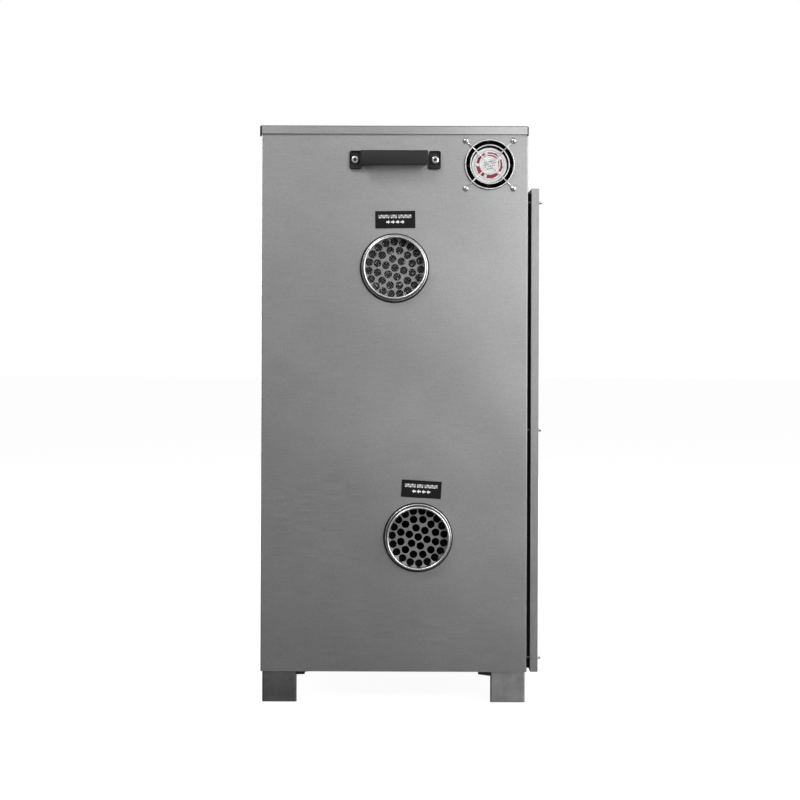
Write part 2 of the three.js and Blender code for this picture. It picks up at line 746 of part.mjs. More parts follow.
function addCoolingFan() {
  const fan = onFace(LEFT, FAN.x, -halfWidth, FAN.z);
  add("cooling_fan_frame", fanFrame(), blackPlastic, fan);
  add("cooling_fan_wheel", fanWheel(), blackPlastic, fan);
  add("cooling_fan_guard", fanGuard(), brightSteel, fan);
  const seat = 2 * SEAM + 2 * GUARD_WIRE_R;
  fanCorners.forEach(([x, y], i) => {
    const screw = panScrew(FAN_SCREW_R, FAN_SCREW_HEAD_R, FAN_SCREW_HEAD, FAN_SCREW_LENGTH);
    add(`cooling_fan_screw_${i + 1}`, screw, brightSteel, fan, x, y, seat);
  });
}

// ---- Service cover with its gasket and captive screws ----
function serviceCover() {
  const box = [coverBack, coverFace, -coverHalf, coverHalf, FOOT_HEIGHT, COVER_TOP];
  const inner = [
    coverBack + SHEET,
    coverFace - SHEET,
    SHEET - coverHalf,
    coverHalf - SHEET,
    FOOT_HEIGHT + SHEET,
    COVER_TOP - SHEET,
  ];
  const hemOpening = slab(
    coverBack - 1,
    coverBack + SHEET + 1,
    COVER_HEM - coverHalf,
    coverHalf - COVER_HEM,
    FOOT_HEIGHT + COVER_HEM,
    COVER_TOP - COVER_HEM,
  );
  const holes = [-1, 1].flatMap((side) =>
    coverScrewZ.map((z) =>
      rodX(COVER_SCREW_R + SEAM, coverBack - 1, coverFace + 1, side * coverScrewY, z, 8),
    ),
  );
  return cut(slab(...box), slab(...inner), hemOpening, ...holes);
}

function coverGasket() {
  const outer = coverHalf - GASKET_SIDE_INSET;
  const inner = outer - GASKET_WIDTH;
  const bottom = FOOT_HEIGHT + GASKET_BOTTOM_INSET;
  const top = COVER_TOP - GASKET_TOP_INSET;
  const back = innerHalfX + SHEET + SEAM;
  const front = coverBack - SEAM;
  return cut(
    slab(back, front, -outer, outer, bottom, top),
    slab(back - 1, front + 1, -inner, inner, bottom + GASKET_WIDTH, top - GASKET_WIDTH),
  );
}

function addServiceCover() {
  add("service_cover", serviceCover(), stainless);
  add("cover_gasket", coverGasket(), rubber);
  const length = coverFace + SEAM - halfDepth + COVER_SCREW_REACH;
  let number = 0;
  for (const side of [-1, 1]) {
    for (const z of coverScrewZ) {
      number += 1;
      const screw = panScrew(
        COVER_SCREW_R,
        COVER_SCREW_HEAD_R,
        COVER_SCREW_HEAD,
        length,
        10,
      );
      const face = onFace(FRONT, coverFace + SEAM, side * coverScrewY, z);
      add(`cover_screw_${number}`, screw, brightSteel, face);
    }
  }
}

// ---- Rotor, its cassette and the belt drive ----
function cassette() {
  const x = innerHalfX - SEAM;
  const top = CASSETTE_Z + CASSETTE_SHEET;
  const plate = cut(
    slab(-x, x, -seatY, seatY, CASSETTE_Z, top),
    rod(ROTOR_R + ROTOR_CLEAR, CASSETTE_Z - 1, top + 1, 0, 0, 48),
    rod(DRIVE_SHAFT_R + DRIVE_SHAFT_CLEAR, CASSETTE_Z - 1, top + 1, DRIVE.x, DRIVE.y, 16),
  );
  const half = BEAM_WIDTH / 2;
  const beam = slab(-x, x, -half, half, BEAM_Z, BEAM_Z + BEAM_HEIGHT);
  const cheeks = [-1, 1].map((side) => {
    const outer = side * x;
    const inner = side * (x - CASSETTE_SHEET);
    const low = Math.min(outer, inner);
    const high = Math.max(outer, inner);
    return slab(low, high, -half, half, BEAM_Z + 1, top - 1);
  });
  return join(plate, beam, ...cheeks);
}

function axle() {
  const base = BEAM_Z + BEAM_HEIGHT + SEAM;
  const shoulder = ROTOR_BOTTOM - ROTOR_RUN;
  const top = ROTOR_BOTTOM + ROTOR_HEIGHT + ROTOR_RUN;
  return turned(
    [
      [0, base],
      [AXLE_COLLAR_R, base],
      [AXLE_COLLAR_R, shoulder],
      [AXLE_R, shoulder],
      [AXLE_R, top],
      [AXLE_NUT.radius, top],
      [AXLE_NUT.radius, top + AXLE_NUT.height],
      [AXLE_R, top + AXLE_NUT.tip],
      [0, top + AXLE_NUT.tip],
    ],
    24,
  );
}

function rotor() {
  const top = ROTOR_BOTTOM + ROTOR_HEIGHT;
  return cut(
    rod(ROTOR_R, ROTOR_BOTTOM, top, 0, 0, 72),
    rod(AXLE_R + ROTOR_RUN, ROTOR_BOTTOM - 1, top + 1, 0, 0, 24),
  );
}

// An open belt's outline round the rotor and the pulley, with extra added to both radii.
function beltOutline(extra) {
  const big = ROTOR_R + BELT_RUN + extra;
  const small = PULLEY_R + BELT_RUN + extra;
  const apart = Math.hypot(DRIVE.x, DRIVE.y);
  const toPulley = Math.atan2(DRIVE.y, DRIVE.x);
  const lean = Math.acos((big - small) / apart);
  const arc = (cx, cy, radius, from, to, steps) =>
    Array.from({ length: steps + 1 }, (_, i) => {
      const angle = from + ((to - from) * i) / steps;
      return [cx + radius * Math.cos(angle), cy + radius * Math.sin(angle)];
    });
  return [
    ...arc(0, 0, big, toPulley + lean, toPulley + 2 * Math.PI - lean, 48),
    ...arc(DRIVE.x, DRIVE.y, small, toPulley - lean, toPulley + lean, 8),
  ];
}

function belt() {
  const middle = CASSETTE_Z + CASSETTE_SHEET + PULLEY_LIFT + PULLEY_HEIGHT / 2;
  const low = middle - BELT_HEIGHT / 2;
  const loop = extruded(polygon(beltOutline(BELT)), low, low + BELT_HEIGHT);
  const hole = extruded(polygon(beltOutline(0)), low - 1, low + BELT_HEIGHT + 1);
  return cut(loop, hole);
}

function pulley() {
  const lip = PULLEY_LIP;
  const slope = PULLEY_SLOPE;
  return turned(
    [
      [0, -DRIVE_SHAFT],
      [DRIVE_SHAFT_R, -DRIVE_SHAFT],
      [DRIVE_SHAFT_R, 0],
      [PULLEY_FLANGE_R, 0],
      [PULLEY_FLANGE_R, lip],
      [PULLEY_R, lip + slope],
      [PULLEY_R, PULLEY_HEIGHT - lip - slope],
      [PULLEY_FLANGE_R, PULLEY_HEIGHT - lip],
      [PULLEY_FLANGE_R, PULLEY_HEIGHT],
      [0, PULLEY_HEIGHT],
    ],
    24,
  );
}

function gearMotor() {
  const gearbox = GEARBOX_HEIGHT;
  const half = MOTOR_R;
  return cut(
    join(
      rod(MOTOR_R, -MOTOR_HEIGHT, 1 - gearbox, 0, 0, 28),
      slab(-half, half, -half, half, -gearbox, 0),
    ),
    rod(DRIVE_SHAFT_R + ROTOR_RUN, -gearbox + 2, 1, 0, 0, 12),
  );
}

function addRotor() {
  add("rotor_cassette", cassette(), galvanised);
  add("rotor_axle", axle(), brightSteel);
  add("desiccant_rotor", rotor(), honeycomb);
  add("drive_belt", belt(), rubber);
  const drive = new THREE.Group();
  drive.position.set(DRIVE.x, DRIVE.y, 0);
  machine.add(drive);
  const lift = CASSETTE_Z + CASSETTE_SHEET + PULLEY_LIFT;
  add("drive_pulley", pulley(), brightSteel, drive, 0, 0, lift);
  add("gear_motor", gearMotor(), motorGrey, drive, 0, 0, CASSETTE_Z - SEAM);
}

// ---- Centrifugal blowers ----
// The volute's outline, seen along the axis: the air turns clockwise and leaves at the top
// towards +X. grow moves every wall outwards, and extra lengthens the outlet.
function volute({ inner, outer, reach }, grow, extra = 0) {
  const steps = 26;
  const tongue = THREE.MathUtils.degToRad(TONGUE);
  const sweep = tongue + 1.5 * Math.PI;
  const low = inner * Math.sin(tongue) - grow;
  const spiral = Array.from({ length: steps + 1 }, (_, i) => {
    const angle = tongue - (sweep * i) / steps;
    const radius = inner + ((outer - inner) * i) / steps + grow;
    return [radius * Math.cos(angle), radius * Math.sin(angle)];
  });
  spiral[0][1] = low;
  const end = reach + extra;
  return polygon([[end, low], ...spiral, [end, outer + grow]]);
}

// bell is the length of the ring that carries the inlet on past the volute's front.
function blowerHousing(blower, bell) {
  const { inner, outer, depth, reach, inlet } = blower;
  const half = depth / 2;
  const clear = half - VOLUTE_SHEET;
  const low = inner * Math.sin(THREE.MathUtils.degToRad(TONGUE));
  const middle = (outer + low) / 2;
  const side = OUTLET_FLANGE / 2;
  const casing = join(
    extruded(volute(blower, VOLUTE_SHEET), -half, half),
    slab(reach - FLANGE_PLATE, reach, middle - side, middle + side, -side, side),
    rod(MOTOR_CAN_R, -half - MOTOR_CAN, 1 - half, 0, 0, 24),
    rod(inlet + VOLUTE_SHEET, half - 1, half + bell, 0, 0, 28),
  );
  const hollow = cut(
    casing,
    extruded(volute(blower, 0, 5), -clear, clear),
    rod(inlet, 0, half + bell + 1, 0, 0, 28),
  );
  return join(hollow, rod(STUB_R, -half, STUB - clear, 0, 0, 16));
}

function blowerWheel({ depth, wheel }) {
  const half = depth / 2 - VOLUTE_SHEET - WHEEL_CLEAR;
  const sheet = WHEEL_SHEET;
  const rim = wheel * WHEEL_RIM;
  const disc = rod(wheel, -half, sheet - half, 0, 0, 32);
  const hub = rod(2 * STUB_R, -half, STUB - half, 0, 0, 20);
  const ring = cut(
    rod(wheel, half - sheet, half, 0, 0, 32),
    rod(rim, half - 2 * sheet, half + 1, 0, 0, 32),
  );
  const blades = Array.from({ length: WHEEL_BLADES }, (_, i) => {
    const long = wheel - rim;
    const blade = slab(-long / 2, long / 2 - 0.8, -0.8, 0.8, 1 - half, half - 1);
    blade.rotateZ(0.5).translate((wheel + rim) / 2, 0, 0);
    return blade.rotateZ((i * 2 * Math.PI) / WHEEL_BLADES);
  });
  return cut(
    join(disc, hub, ring, ...blades),
    rod(STUB_R + STUB_RUN, -half - 1, STUB + 1, 0, 0, 16),
  );
}

// The distance from the wheel's axis to the middle of the outlet.
const outletOffset = ({ inner, outer }) =>
  (outer + inner * Math.sin(THREE.MathUtils.degToRad(TONGUE))) / 2;

function addProcessBlower() {
  const blower = PROCESS_BLOWER;
  const y = seatY - blower.reach;
  const group = onFace(FRONT, DRY_OUTLET.x, y, DRY_OUTLET.z - outletOffset(blower));
  add("process_blower_housing", blowerHousing(blower, 0.5), blackPaint, group);
  add("process_blower_wheel", blowerWheel(blower), galvanised, group);
}

const hoodBottom = WET_OUTLET.z + OUTLET_FLANGE / 2 + SEAM;
const wetFlangeY = innerHalfY - 2 * SEAM - SCREEN_SHEET;
const regenX = WET_OUTLET.x - outletOffset(REGEN_BLOWER);
const regenY = REGEN_BLOWER.reach - wetFlangeY;

function addRegenBlower() {
  const blower = REGEN_BLOWER;
  const group = new THREE.Group();
  group.position.set(regenX, regenY, WET_OUTLET.z);
  group.rotation.z = -Math.PI / 2;
  machine.add(group);
  const bell = hoodBottom - SEAM - WET_OUTLET.z - blower.depth / 2;
  add("regen_blower_housing", blowerHousing(blower, bell), blackPaint, group);
  add("regen_blower_wheel", blowerWheel(blower), galvanised, group);
}

// ---- Heater box above the rotor's regeneration sector and hood below it ----
function heaterBox() {
  const bottom = ROTOR_BOTTOM + ROTOR_HEIGHT + ROTOR_SEAL;
  const box = [-DUCT_HALF, DUCT_HALF, -seatY, DUCT_INNER_Y, bottom, HEATER_BOX_TOP];
  const hole = throughSide(-1, SCREEN_R + 2 * SEAM, REGEN_INLET.x, REGEN_INLET.z, COLLAR_SIDES);
  return cut(shell(box, SHEET, OPEN_BOTTOM), hole);
}

function heaterElement() {
  const half = DUCT_HALF - SHEET - SEAM;
  const from = -seatY + SHEET + HEATER_END_GAP.panel;
  const to = DUCT_INNER_Y - SHEET - HEATER_END_GAP.inner;
  const rails = [-1, 1].map((side) => {
    const outer = side * half;
    const inner = side * (half - HEATER_RAIL);
    const low = Math.min(outer, inner);
    const high = Math.max(outer, inner);
    return slab(low, high, from, to, 0, HEATER_HEIGHT);
  });
  const step = (to - from) / HEATER_RODS;
  const rods = Array.from({ length: HEATER_RODS }, (_, i) => {
    const y = from + step * (i + 0.5);
    return rodX(HEATER_ROD_R, 1 - half, half - 1, y, HEATER_HEIGHT / 2, 10);
  });
  return join(...rails, ...rods);
}

function regenHood() {
  const top = ROTOR_BOTTOM - ROTOR_SEAL;
  const box = [-DUCT_HALF, DUCT_HALF, -seatY, DUCT_INNER_Y, hoodBottom, top];
  const mouth = rod(REGEN_BLOWER.inlet, hoodBottom - 1, hoodBottom + 3, regenX, regenY, 28);
  return cut(shell(box, SHEET, OPEN_TOP), mouth);
}

function addRegenDuct() {
  add("heater_box", heaterBox(), galvanised);
  add("heater_element", heaterElement(), heaterSteel, machine, 0, 0, HEATER_Z);
  add("regen_hood", regenHood(), galvanised);
}

// ---- Process air filter, which lifts out of a three-sided holder ----
function filterHolder() {
  const half = FILTER_SIZE / 2 + FILTER_RUN + HOLDER_SHEET;
  const front = SEAM + FILTER_THICK + 2 * FILTER_RUN + HOLDER_SHEET;
  const top = FILTER_SIZE / 2;
  const pocket = slab(
    HOLDER_SHEET - half,
    half - HOLDER_SHEET,
    HOLDER_SHEET - half,
    top + 1,
    SEAM - 1,
    front - HOLDER_SHEET,
  );
  const lip = half - HOLDER_LIP;
  const window = slab(-lip, lip, -lip, top + 1, 0, front + 1);
  return cut(slab(-half, half, -half, top, SEAM, front), pocket, window);
}

function filterCassette() {
  const half = FILTER_SIZE / 2;
  const back = SEAM + FILTER_RUN;
  const tab = FILTER_TAB;
  const front = back + FILTER_THICK;
  return join(
    slab(-half, half, -half, half, back, front),
    slab(
      -tab.width / 2,
      tab.width / 2,
      half - 1,
      half + tab.height,
      front - tab.thick,
      front,
    ),
  );
}

function addProcessFilter() {
  const group = onFace(RIGHT, 0, halfWidth, FILTER_Z);
  add("filter_holder", filterHolder(), stainless, group);
  add("process_filter", filterCassette(), filterMedia, group);
}

// ---- Controls on the front band ----
function displayModule() {
  const { width, height, bezel, body } = DISPLAY;
  return join(
    slab(-width / 2, width / 2, -height / 2, height / 2, SEAM, SEAM + bezel),
    slab(
      -DISPLAY.cut / 2,
      DISPLAY.cut / 2,
      -DISPLAY.cutHeight / 2,
      DISPLAY.cutHeight / 2,
      -body,
      SEAM + 1,
    ),
  );
}

const startButton = () =>
  turned(
    [
      [0, -PLUNGER_BEHIND],
      [PLUNGER_R, -PLUNGER_BEHIND],
      [PLUNGER_R, BUTTON.reach - BUTTON.edge],
      [PLUNGER_R - BUTTON.edge, BUTTON.reach],
      [0, BUTTON.reach],
    ],
    24,
  );

const emergencyStop = () =>
  turned(
    [
      [0, -PLUNGER_BEHIND],
      [PLUNGER_R, -PLUNGER_BEHIND],
      [PLUNGER_R, STOP_HEAD.back],
      [STOP_HEAD_R, STOP_HEAD.back],
      [STOP_HEAD_R, STOP_HEAD.back + STOP_HEAD.side],
      [STOP_HEAD_R * 0.8, STOP_REACH - STOP_HEAD.dome],
      [0, STOP_REACH],
    ],
    24,
  );

function mainSwitch() {
  const knob = turned(
    [
      [0, -PLUNGER_BEHIND],
      [PLUNGER_R, -PLUNGER_BEHIND],
      [PLUNGER_R, SEAM],
      [KNOB_R, SEAM],
      [KNOB_R, KNOB_HEIGHT - KNOB_EDGE],
      [KNOB_R - KNOB_EDGE, KNOB_HEIGHT],
      [0, KNOB_HEIGHT],
    ],
    24,
  );
  const { width, length, reach } = KNOB_GRIP;
  const foot = KNOB_HEIGHT - KNOB_EDGE;
  return join(knob, slab(-width / 2, width / 2, -length / 2, length / 2, foot, reach));
}

function addControls() {
  const face = innerHalfX + SHEET;
  const at = (y) => onFace(FRONT, face, y, CONTROL_Z);
  add("display_module", displayModule(), blackPlastic, at(DISPLAY.y));
  add("start_button", startButton(), startGreen, at(START_Y));
  add("main_switch", mainSwitch(), blackPlastic, at(SWITCH_Y));
  add("emergency_stop", emergencyStop(), stopRed, at(STOP_Y));
}

// ---- Electrical compartment ----
function contactor() {
  const { width, depth, height } = CONTACTOR;
  const foot = RAIL.height - RAIL.sunk;
  return join(
    slab(-RAIL.width / 2, RAIL.width / 2, -RAIL.length / 2, RAIL.length / 2, 0, RAIL.height),
    slab(-width / 2, width / 2, -depth / 2, depth / 2, foot, CONTACTOR_STEP.to),
    slab(-width / 3, width / 3, -depth / 2, depth / 2, CONTACTOR_STEP.from, height),
  );
}

// Screwed cable entry: hexagonal body inside the hole, dome nut with its rubber seal outside.
function cableGland() {
  const { clear, behind, flange, flangeHeight, nut, nutTop, seal } = GLAND_BODY;
  const body = GLAND.bore - clear;
  return turned(
    [
      [0, -behind],
      [body, -behind],
      [body, SEAM],
      [flange, SEAM],
      [flange, flangeHeight],
      [nut, flangeHeight],
      [nut, nutTop],
      [seal, GLAND.reach],
      [0, GLAND.reach],
    ],
    18,
  );
}

function addElectrics() {
  const { x, y } = CONTACTOR;
  add("power_contactor", contactor(), whitePlastic, machine, x, y, DECK_Z + SEAM);
  const rear = onFace(REAR, -innerHalfX - SHEET, GLAND.y, GLAND.z);
  add("cable_gland", cableGland(), blackPlastic, rear);
}

addCabinet();
addFeet();
addDuctwork();
addLabels();
addHandles();
addCoolingFan();
addServiceCover();
addRotor();
addProcessBlower();
addRegenBlower();
addRegenDuct();
addProcessFilter();
addControls();
addElectrics();

// The origin is on the floor under the middle of the machine's overall length, which runs from
// the cable gland at the rear to the emergency stop at the front.
const face = innerHalfX + SHEET;
const frontmost = Math.max(face + STOP_REACH, screwTip);
const rearmost = Math.max(face + GLAND.reach, halfDepth + LID_OVERHANG);
machine.position.x = -(frontmost - rearmost) / 2;

export default machine;
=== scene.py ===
"""Looks, light and camera for the desiccant rotor dehumidifier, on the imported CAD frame."""

import math
import random

import bmesh
import bpy
from mathutils import Matrix, Vector


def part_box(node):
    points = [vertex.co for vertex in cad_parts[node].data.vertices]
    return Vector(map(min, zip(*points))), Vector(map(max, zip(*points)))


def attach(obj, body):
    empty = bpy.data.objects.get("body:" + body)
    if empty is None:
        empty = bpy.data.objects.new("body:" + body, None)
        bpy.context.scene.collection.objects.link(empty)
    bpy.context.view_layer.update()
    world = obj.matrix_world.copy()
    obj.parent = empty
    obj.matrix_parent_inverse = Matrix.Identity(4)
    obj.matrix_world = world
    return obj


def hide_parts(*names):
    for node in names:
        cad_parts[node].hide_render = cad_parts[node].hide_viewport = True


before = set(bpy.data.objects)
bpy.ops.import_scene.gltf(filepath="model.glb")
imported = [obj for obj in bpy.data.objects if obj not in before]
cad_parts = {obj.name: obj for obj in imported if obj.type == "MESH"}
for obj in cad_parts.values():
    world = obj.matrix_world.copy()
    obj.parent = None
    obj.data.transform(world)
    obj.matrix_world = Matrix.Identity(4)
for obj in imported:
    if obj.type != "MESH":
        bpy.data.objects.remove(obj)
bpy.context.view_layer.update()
MM = 0.001
random.seed(7)


# ---- Places, from the CAD nodes ----
def middle(node):
    low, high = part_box(node)
    return (low + high) / 2


def span(node):
    low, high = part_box(node)
    return high - low


left_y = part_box("left_panel")[0].y
right_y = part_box("right_panel")[1].y
front_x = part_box("control_panel")[1].x
rear_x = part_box("rear_panel")[0].x


def turned(x_axis, y_axis, z_axis, origin):
    rows = [list(column) for column in zip(x_axis, y_axis, z_axis)]
    return Matrix.Translation(origin) @ Matrix(rows).to_4x4()


# A frame on one face of the cabinet: +Z points out of the face and +Y points up.
def on_left(x, z, out=0.0):
    return turned((1, 0, 0), (0, 0, 1), (0, -1, 0), (x, left_y - out, z))


def on_right(x, z, out=0.0):
    return turned((-1, 0, 0), (0, 0, 1), (0, 1, 0), (x, right_y + out, z))


def on_front(y, z, out=0.0, face=front_x):
    return turned((0, 1, 0), (0, 0, 1), (1, 0, 0), (face + out, y, z))


def on_rear(y, z, out=0.0):
    return turned((0, -1, 0), (0, 0, 1), (-1, 0, 0), (rear_x - out, y, z))


# ---- Materials ----
class Look:
    """A Principled material and short calls that add nodes to it."""

    def __init__(self, name, color, roughness, metallic=0.0, **sockets):
        self.material = bpy.data.materials.new(name)
        self.material.use_nodes = True
        self.tree = self.material.node_tree
        self.shader = self.tree.nodes["Principled BSDF"]
        self.shader.inputs["Base Color"].default_value = (*color, 1)
        self.shader.inputs["Roughness"].default_value = roughness
        self.shader.inputs["Metallic"].default_value = metallic
        for socket, value in sockets.items():
            self.shader.inputs[socket.replace("_", " ")].default_value = value

    def node(self, kind, inputs=None, **settings):
        made = self.tree.nodes.new("ShaderNode" + kind)
        for key, value in settings.items():
            setattr(made, key, value)
        for key, value in (inputs or {}).items():
            if isinstance(value, bpy.types.NodeSocket):
                self.tree.links.new(value, made.inputs[key])
            else:
                made.inputs[key].default_value = value
        return made

    def place(self, scale=(1, 1, 1)):
        where = self.node("TexCoord").outputs["Object"]
        return self.node("Mapping", {"Vector": where, "Scale": scale}).outputs[0]

    def noise(self, scale, stretch=(1, 1, 1), detail=2.0, rough=0.5):
        values = {
            "Vector": self.place(stretch),
            "Scale": scale,
            "Detail": detail,
            "Roughness": rough,
        }
        return self.node("TexNoise", values).outputs["Fac"]

    def ramp(self, factor, low, high, a, b):
        """A colour or grey that runs from a to b as factor runs from low to high."""
        made = self.node("ValToRGB", {"Fac": factor})
        for element, position, color in zip(made.color_ramp.elements, (low, high), (a, b)):
            element.position = position
            element.color = (*color, 1) if isinstance(color, tuple) else (color,) * 3 + (1,)
        return made.outputs["Color"]

    def blend(self, factor, a, b, mode="MIX"):
        made = self.node("Mix", data_type="RGBA", blend_type=mode)
        for index, value in ((0, factor), (6, a), (7, b)):
            if isinstance(value, bpy.types.NodeSocket):
                self.tree.links.new(value, made.inputs[index])
            else:
                made.inputs[index].default_value = value if index == 0 else (*value, 1)
        return made.outputs[2]

    def feed(self, socket, output):
        self.tree.links.new(output, self.shader.inputs[socket])
        return self

    def bump(self, height, strength, distance):
        values = {"Height": height, "Strength": strength, "Distance": distance}
        bump = self.node("Bump", values)
        old = self.shader.inputs["Normal"].links
        if old:
            self.tree.links.new(old[0].from_socket, bump.inputs["Normal"])
        return self.feed("Normal", bump.outputs["Normal"])


def brushed(name, color, roughness, grain="x", dents=0.0, smudge_size=5.0, smudge_depth=0.92):
    """Sheet steel with fine brush lines along one axis, faint smudges and shallow dents."""
    look = Look(name, color, roughness, 1.0)
    along, across = 26.0, 800.0
    stretch = tuple(along if axis == grain else across for axis in "xyz")
    lines = look.noise(1.0, stretch, 3.0, 0.65)
    smudge = look.noise(smudge_size, (1, 1, 1), 5.0, 0.6)
    speckle = look.noise(420.0, (1, 1, 1), 3.0, 0.7)
    cloudy = look.ramp(smudge, 0.35, 0.7, tuple(c * smudge_depth for c in color), color)
    tint = look.blend(1.0, cloudy, look.ramp(speckle, 0.3, 0.7, (0.84,) * 3, (1, 1, 1)), "MULTIPLY")
    shade = look.ramp(lines, 0.3, 0.7, (0.90, 0.90, 0.90), (1, 1, 1))
    look.feed("Base Color", look.blend(1.0, tint, shade, "MULTIPLY"))
    look.feed("Roughness", look.ramp(lines, 0.2, 0.8, roughness - 0.06, roughness + 0.08))
    look.bump(lines, 0.06, 0.00012)
    if dents:
        look.bump(look.noise(5.5, (1, 1, 1), 1.0, 0.4), dents, 0.012)
    return look.material


def plastic(name, color, roughness=0.5, grain=0.25, **sockets):
    look = Look(name, color, roughness, **sockets)
    fine = look.noise(900.0, (1, 1, 1), 2.0)
    broad = look.noise(18.0, (1, 1, 1), 3.0)
    look.feed("Base Color", look.ramp(broad, 0.3, 0.75, tuple(c * 0.86 for c in color), color))
    look.feed("Roughness", look.ramp(broad, 0.25, 0.75, roughness - 0.07, roughness + 0.07))
    return look.bump(fine, grain, 0.0002).material


def bright(name, color=(0.78, 0.79, 0.80), roughness=0.2, wear=0.05):
    look = Look(name, color, roughness, 1.0)
    worn = look.noise(120.0, (1, 1, 1), 3.0)
    look.feed("Roughness", look.ramp(worn, 0.3, 0.8, roughness - wear, roughness + 2 * wear))
    look.feed("Base Color", look.ramp(worn, 0.3, 0.8, color, tuple(c * 0.88 for c in color)))
    return look.bump(worn, wear, 0.0003).material


def galvanised():
    look = Look("galvanised", (0.55, 0.57, 0.59), 0.42, 1.0)
    values = {"Vector": look.place(), "Scale": 90.0}
    spangle = look.node("TexVoronoi", values).outputs["Color"]
    look.feed("Base Color", look.ramp(spangle, 0.1, 0.9, (0.46, 0.48, 0.50), (0.62, 0.64, 0.66)))
    look.feed("Roughness", look.ramp(spangle, 0.1, 0.9, 0.34, 0.52))
    return look.material


def wire_foam():
    """Black filter mat with wiry strands that cross each other, and painted glints here and there.
    """
    look = Look("wire_foam", (0.02, 0.02, 0.02), 0.45, Specular_IOR_Level=0.12)
    where = look.place((1, 1, 1))
    strands = []
    for tilt in (0.9, -0.7):
        tilted = look.node(
            "VectorRotate", {"Vector": where, "Angle": tilt}, rotation_type="Y_AXIS"
        )
        values = {
            "Vector": tilted.outputs[0],
            "Scale": 98.0,
            "Distortion": 3.2,
            "Detail": 2.0,
            "Detail Scale": 2.5,
        }
        wave = look.node("TexWave", values, bands_direction="X")
        strands.append(wave.outputs["Fac"])
    crossed = look.node("Math", {0: strands[0], 1: strands[1]}, operation="MAXIMUM").outputs[0]
    dark = look.ramp(crossed, 0.88, 1.0, (0.0005, 0.0005, 0.0005), (0.13, 0.13, 0.13))
    # Painted highlights: a few bright spots added to the colour stand in for glints on the strands.
    glint_spots = look.noise(380.0, (1, 1, 1), 2.0, 0.6)
    light = look.ramp(glint_spots, 0.63, 0.67, (0, 0, 0), (0.5, 0.5, 0.5))
    look.feed("Base Color", look.blend(1.0, dark, light, "ADD"))
    return look.bump(crossed, 0.7, 0.002).material


def honeycomb():
    """The rotor's fine corrugated channels, seen from the end, with painted shade dark in their
    openings.
    """
    look = Look("honeycomb", (0.74, 0.71, 0.62), 0.9)
    where = look.place((330, 330, 330))
    voronoi = look.node("TexVoronoi", {"Vector": where, "Scale": 1.0}, feature="F1")
    cells = voronoi.outputs["Distance"]
    mottle = look.noise(16.0, (1, 1, 0.05), 2.0)
    # Painted shade: the cells' middles, where the channels open, are dark; the walls between keep
    # the fibre's colour.
    walls_and_channel_shade = look.ramp(cells, 0.25, 0.6, (0.10, 0.09, 0.08), (0.74, 0.71, 0.62))
    shade = look.ramp(mottle, 0.3, 0.7, (0.82, 0.82, 0.82), (1, 1, 1))
    look.feed("Base Color", look.blend(1.0, walls_and_channel_shade, shade, "MULTIPLY"))
    return look.bump(cells, 0.5, 0.001).material


def fibre():
    """Pleated filter fibre, darker down in its folds as painted shade."""
    look = Look("filter_fibre", (0.80, 0.80, 0.77), 0.95, Sheen_Weight=0.3)
    fuzz = look.noise(650.0, (1, 1, 1), 5.0, 0.7)
    fluff = look.ramp(fuzz, 0.3, 0.75, (0.62, 0.62, 0.59), (0.84, 0.84, 0.82))
    where = look.node("SeparateXYZ", {"Vector": look.node("TexCoord").outputs["Generated"]})
    # Painted shade: the fibre darkens towards the bottoms of its folds.
    fold_shade = look.ramp(where.outputs["Z"], 0.1, 0.8, (0.30, 0.29, 0.28), (1, 1, 1))
    look.feed("Base Color", look.blend(1.0, fluff, fold_shade, "MULTIPLY"))
    return look.bump(fuzz, 0.6, 0.0006).material


def painted(name, color, roughness=0.45):
    look = Look(name, color, roughness, 0.0, Coat_Weight=0.1)
    peel = look.noise(260.0, (1, 1, 1), 2.0)
    patches = look.noise(9.0, (1, 1, 1), 3.0)
    look.feed("Base Color", look.ramp(patches, 0.3, 0.7, tuple(c * 0.85 for c in color), color))
    return look.bump(peel, 0.15, 0.0003).material


def heat_tinted():
    look = Look("heater_tube", (0.30, 0.25, 0.21), 0.4, 1.0)
    heat = look.noise(30.0, (1, 1, 1), 3.0)
    look.feed("Base Color", look.ramp(heat, 0.35, 0.7, (0.20, 0.15, 0.13), (0.42, 0.36, 0.30)))
    return look.bump(look.noise(500.0), 0.1, 0.0002).material


STEEL = (0.415, 0.415, 0.418)
panel_steel = brushed("panel_steel", STEEL, 0.40, "x", 0.22)
lid_steel = brushed("lid_steel", (0.40, 0.40, 0.403), 0.40, "x")
side_steel = brushed("front_steel", STEEL, 0.40, "y", 0.05)
# A darker copy of the lid's steel for its top plate, as painted shade that tones down the top's
# highlight.
shaded_lid_top_steel = brushed("shaded_lid_top_steel", (0.22, 0.22, 0.222), 0.50, "y")
cover_steel = brushed("cover_steel", (0.385, 0.385, 0.388), 0.42, "z", 0.04)
# Lit and shaded copies of the feet's steel: the front feet paler as painted light, the rear feet
# darker as painted shade.
lit_foot_steel = brushed("lit_foot_steel", (0.47, 0.47, 0.47), 0.46, "x", 0.35, 42.0, 0.74)
shaded_foot_steel = brushed("shaded_foot_steel", (0.205, 0.205, 0.205), 0.50, "x", 0.35, 42.0, 0.70)
screen_steel = brushed("screen_steel", (0.33, 0.33, 0.33), 0.45, "x")
zinc = galvanised()
chrome = bright("bright_steel", (0.80, 0.80, 0.81))
guard_chrome = bright("guard_wire", (0.95, 0.95, 0.95), 0.28, 0.02)
rim_chrome = bright("collar_steel", (0.85, 0.85, 0.85), 0.28, 0.01)
aluminium = bright("aluminium", (0.70, 0.70, 0.71), 0.35)
handle_plastic = plastic("handle_plastic", (0.018, 0.018, 0.018), 0.55, 0.3, Specular_IOR_Level=0.3)
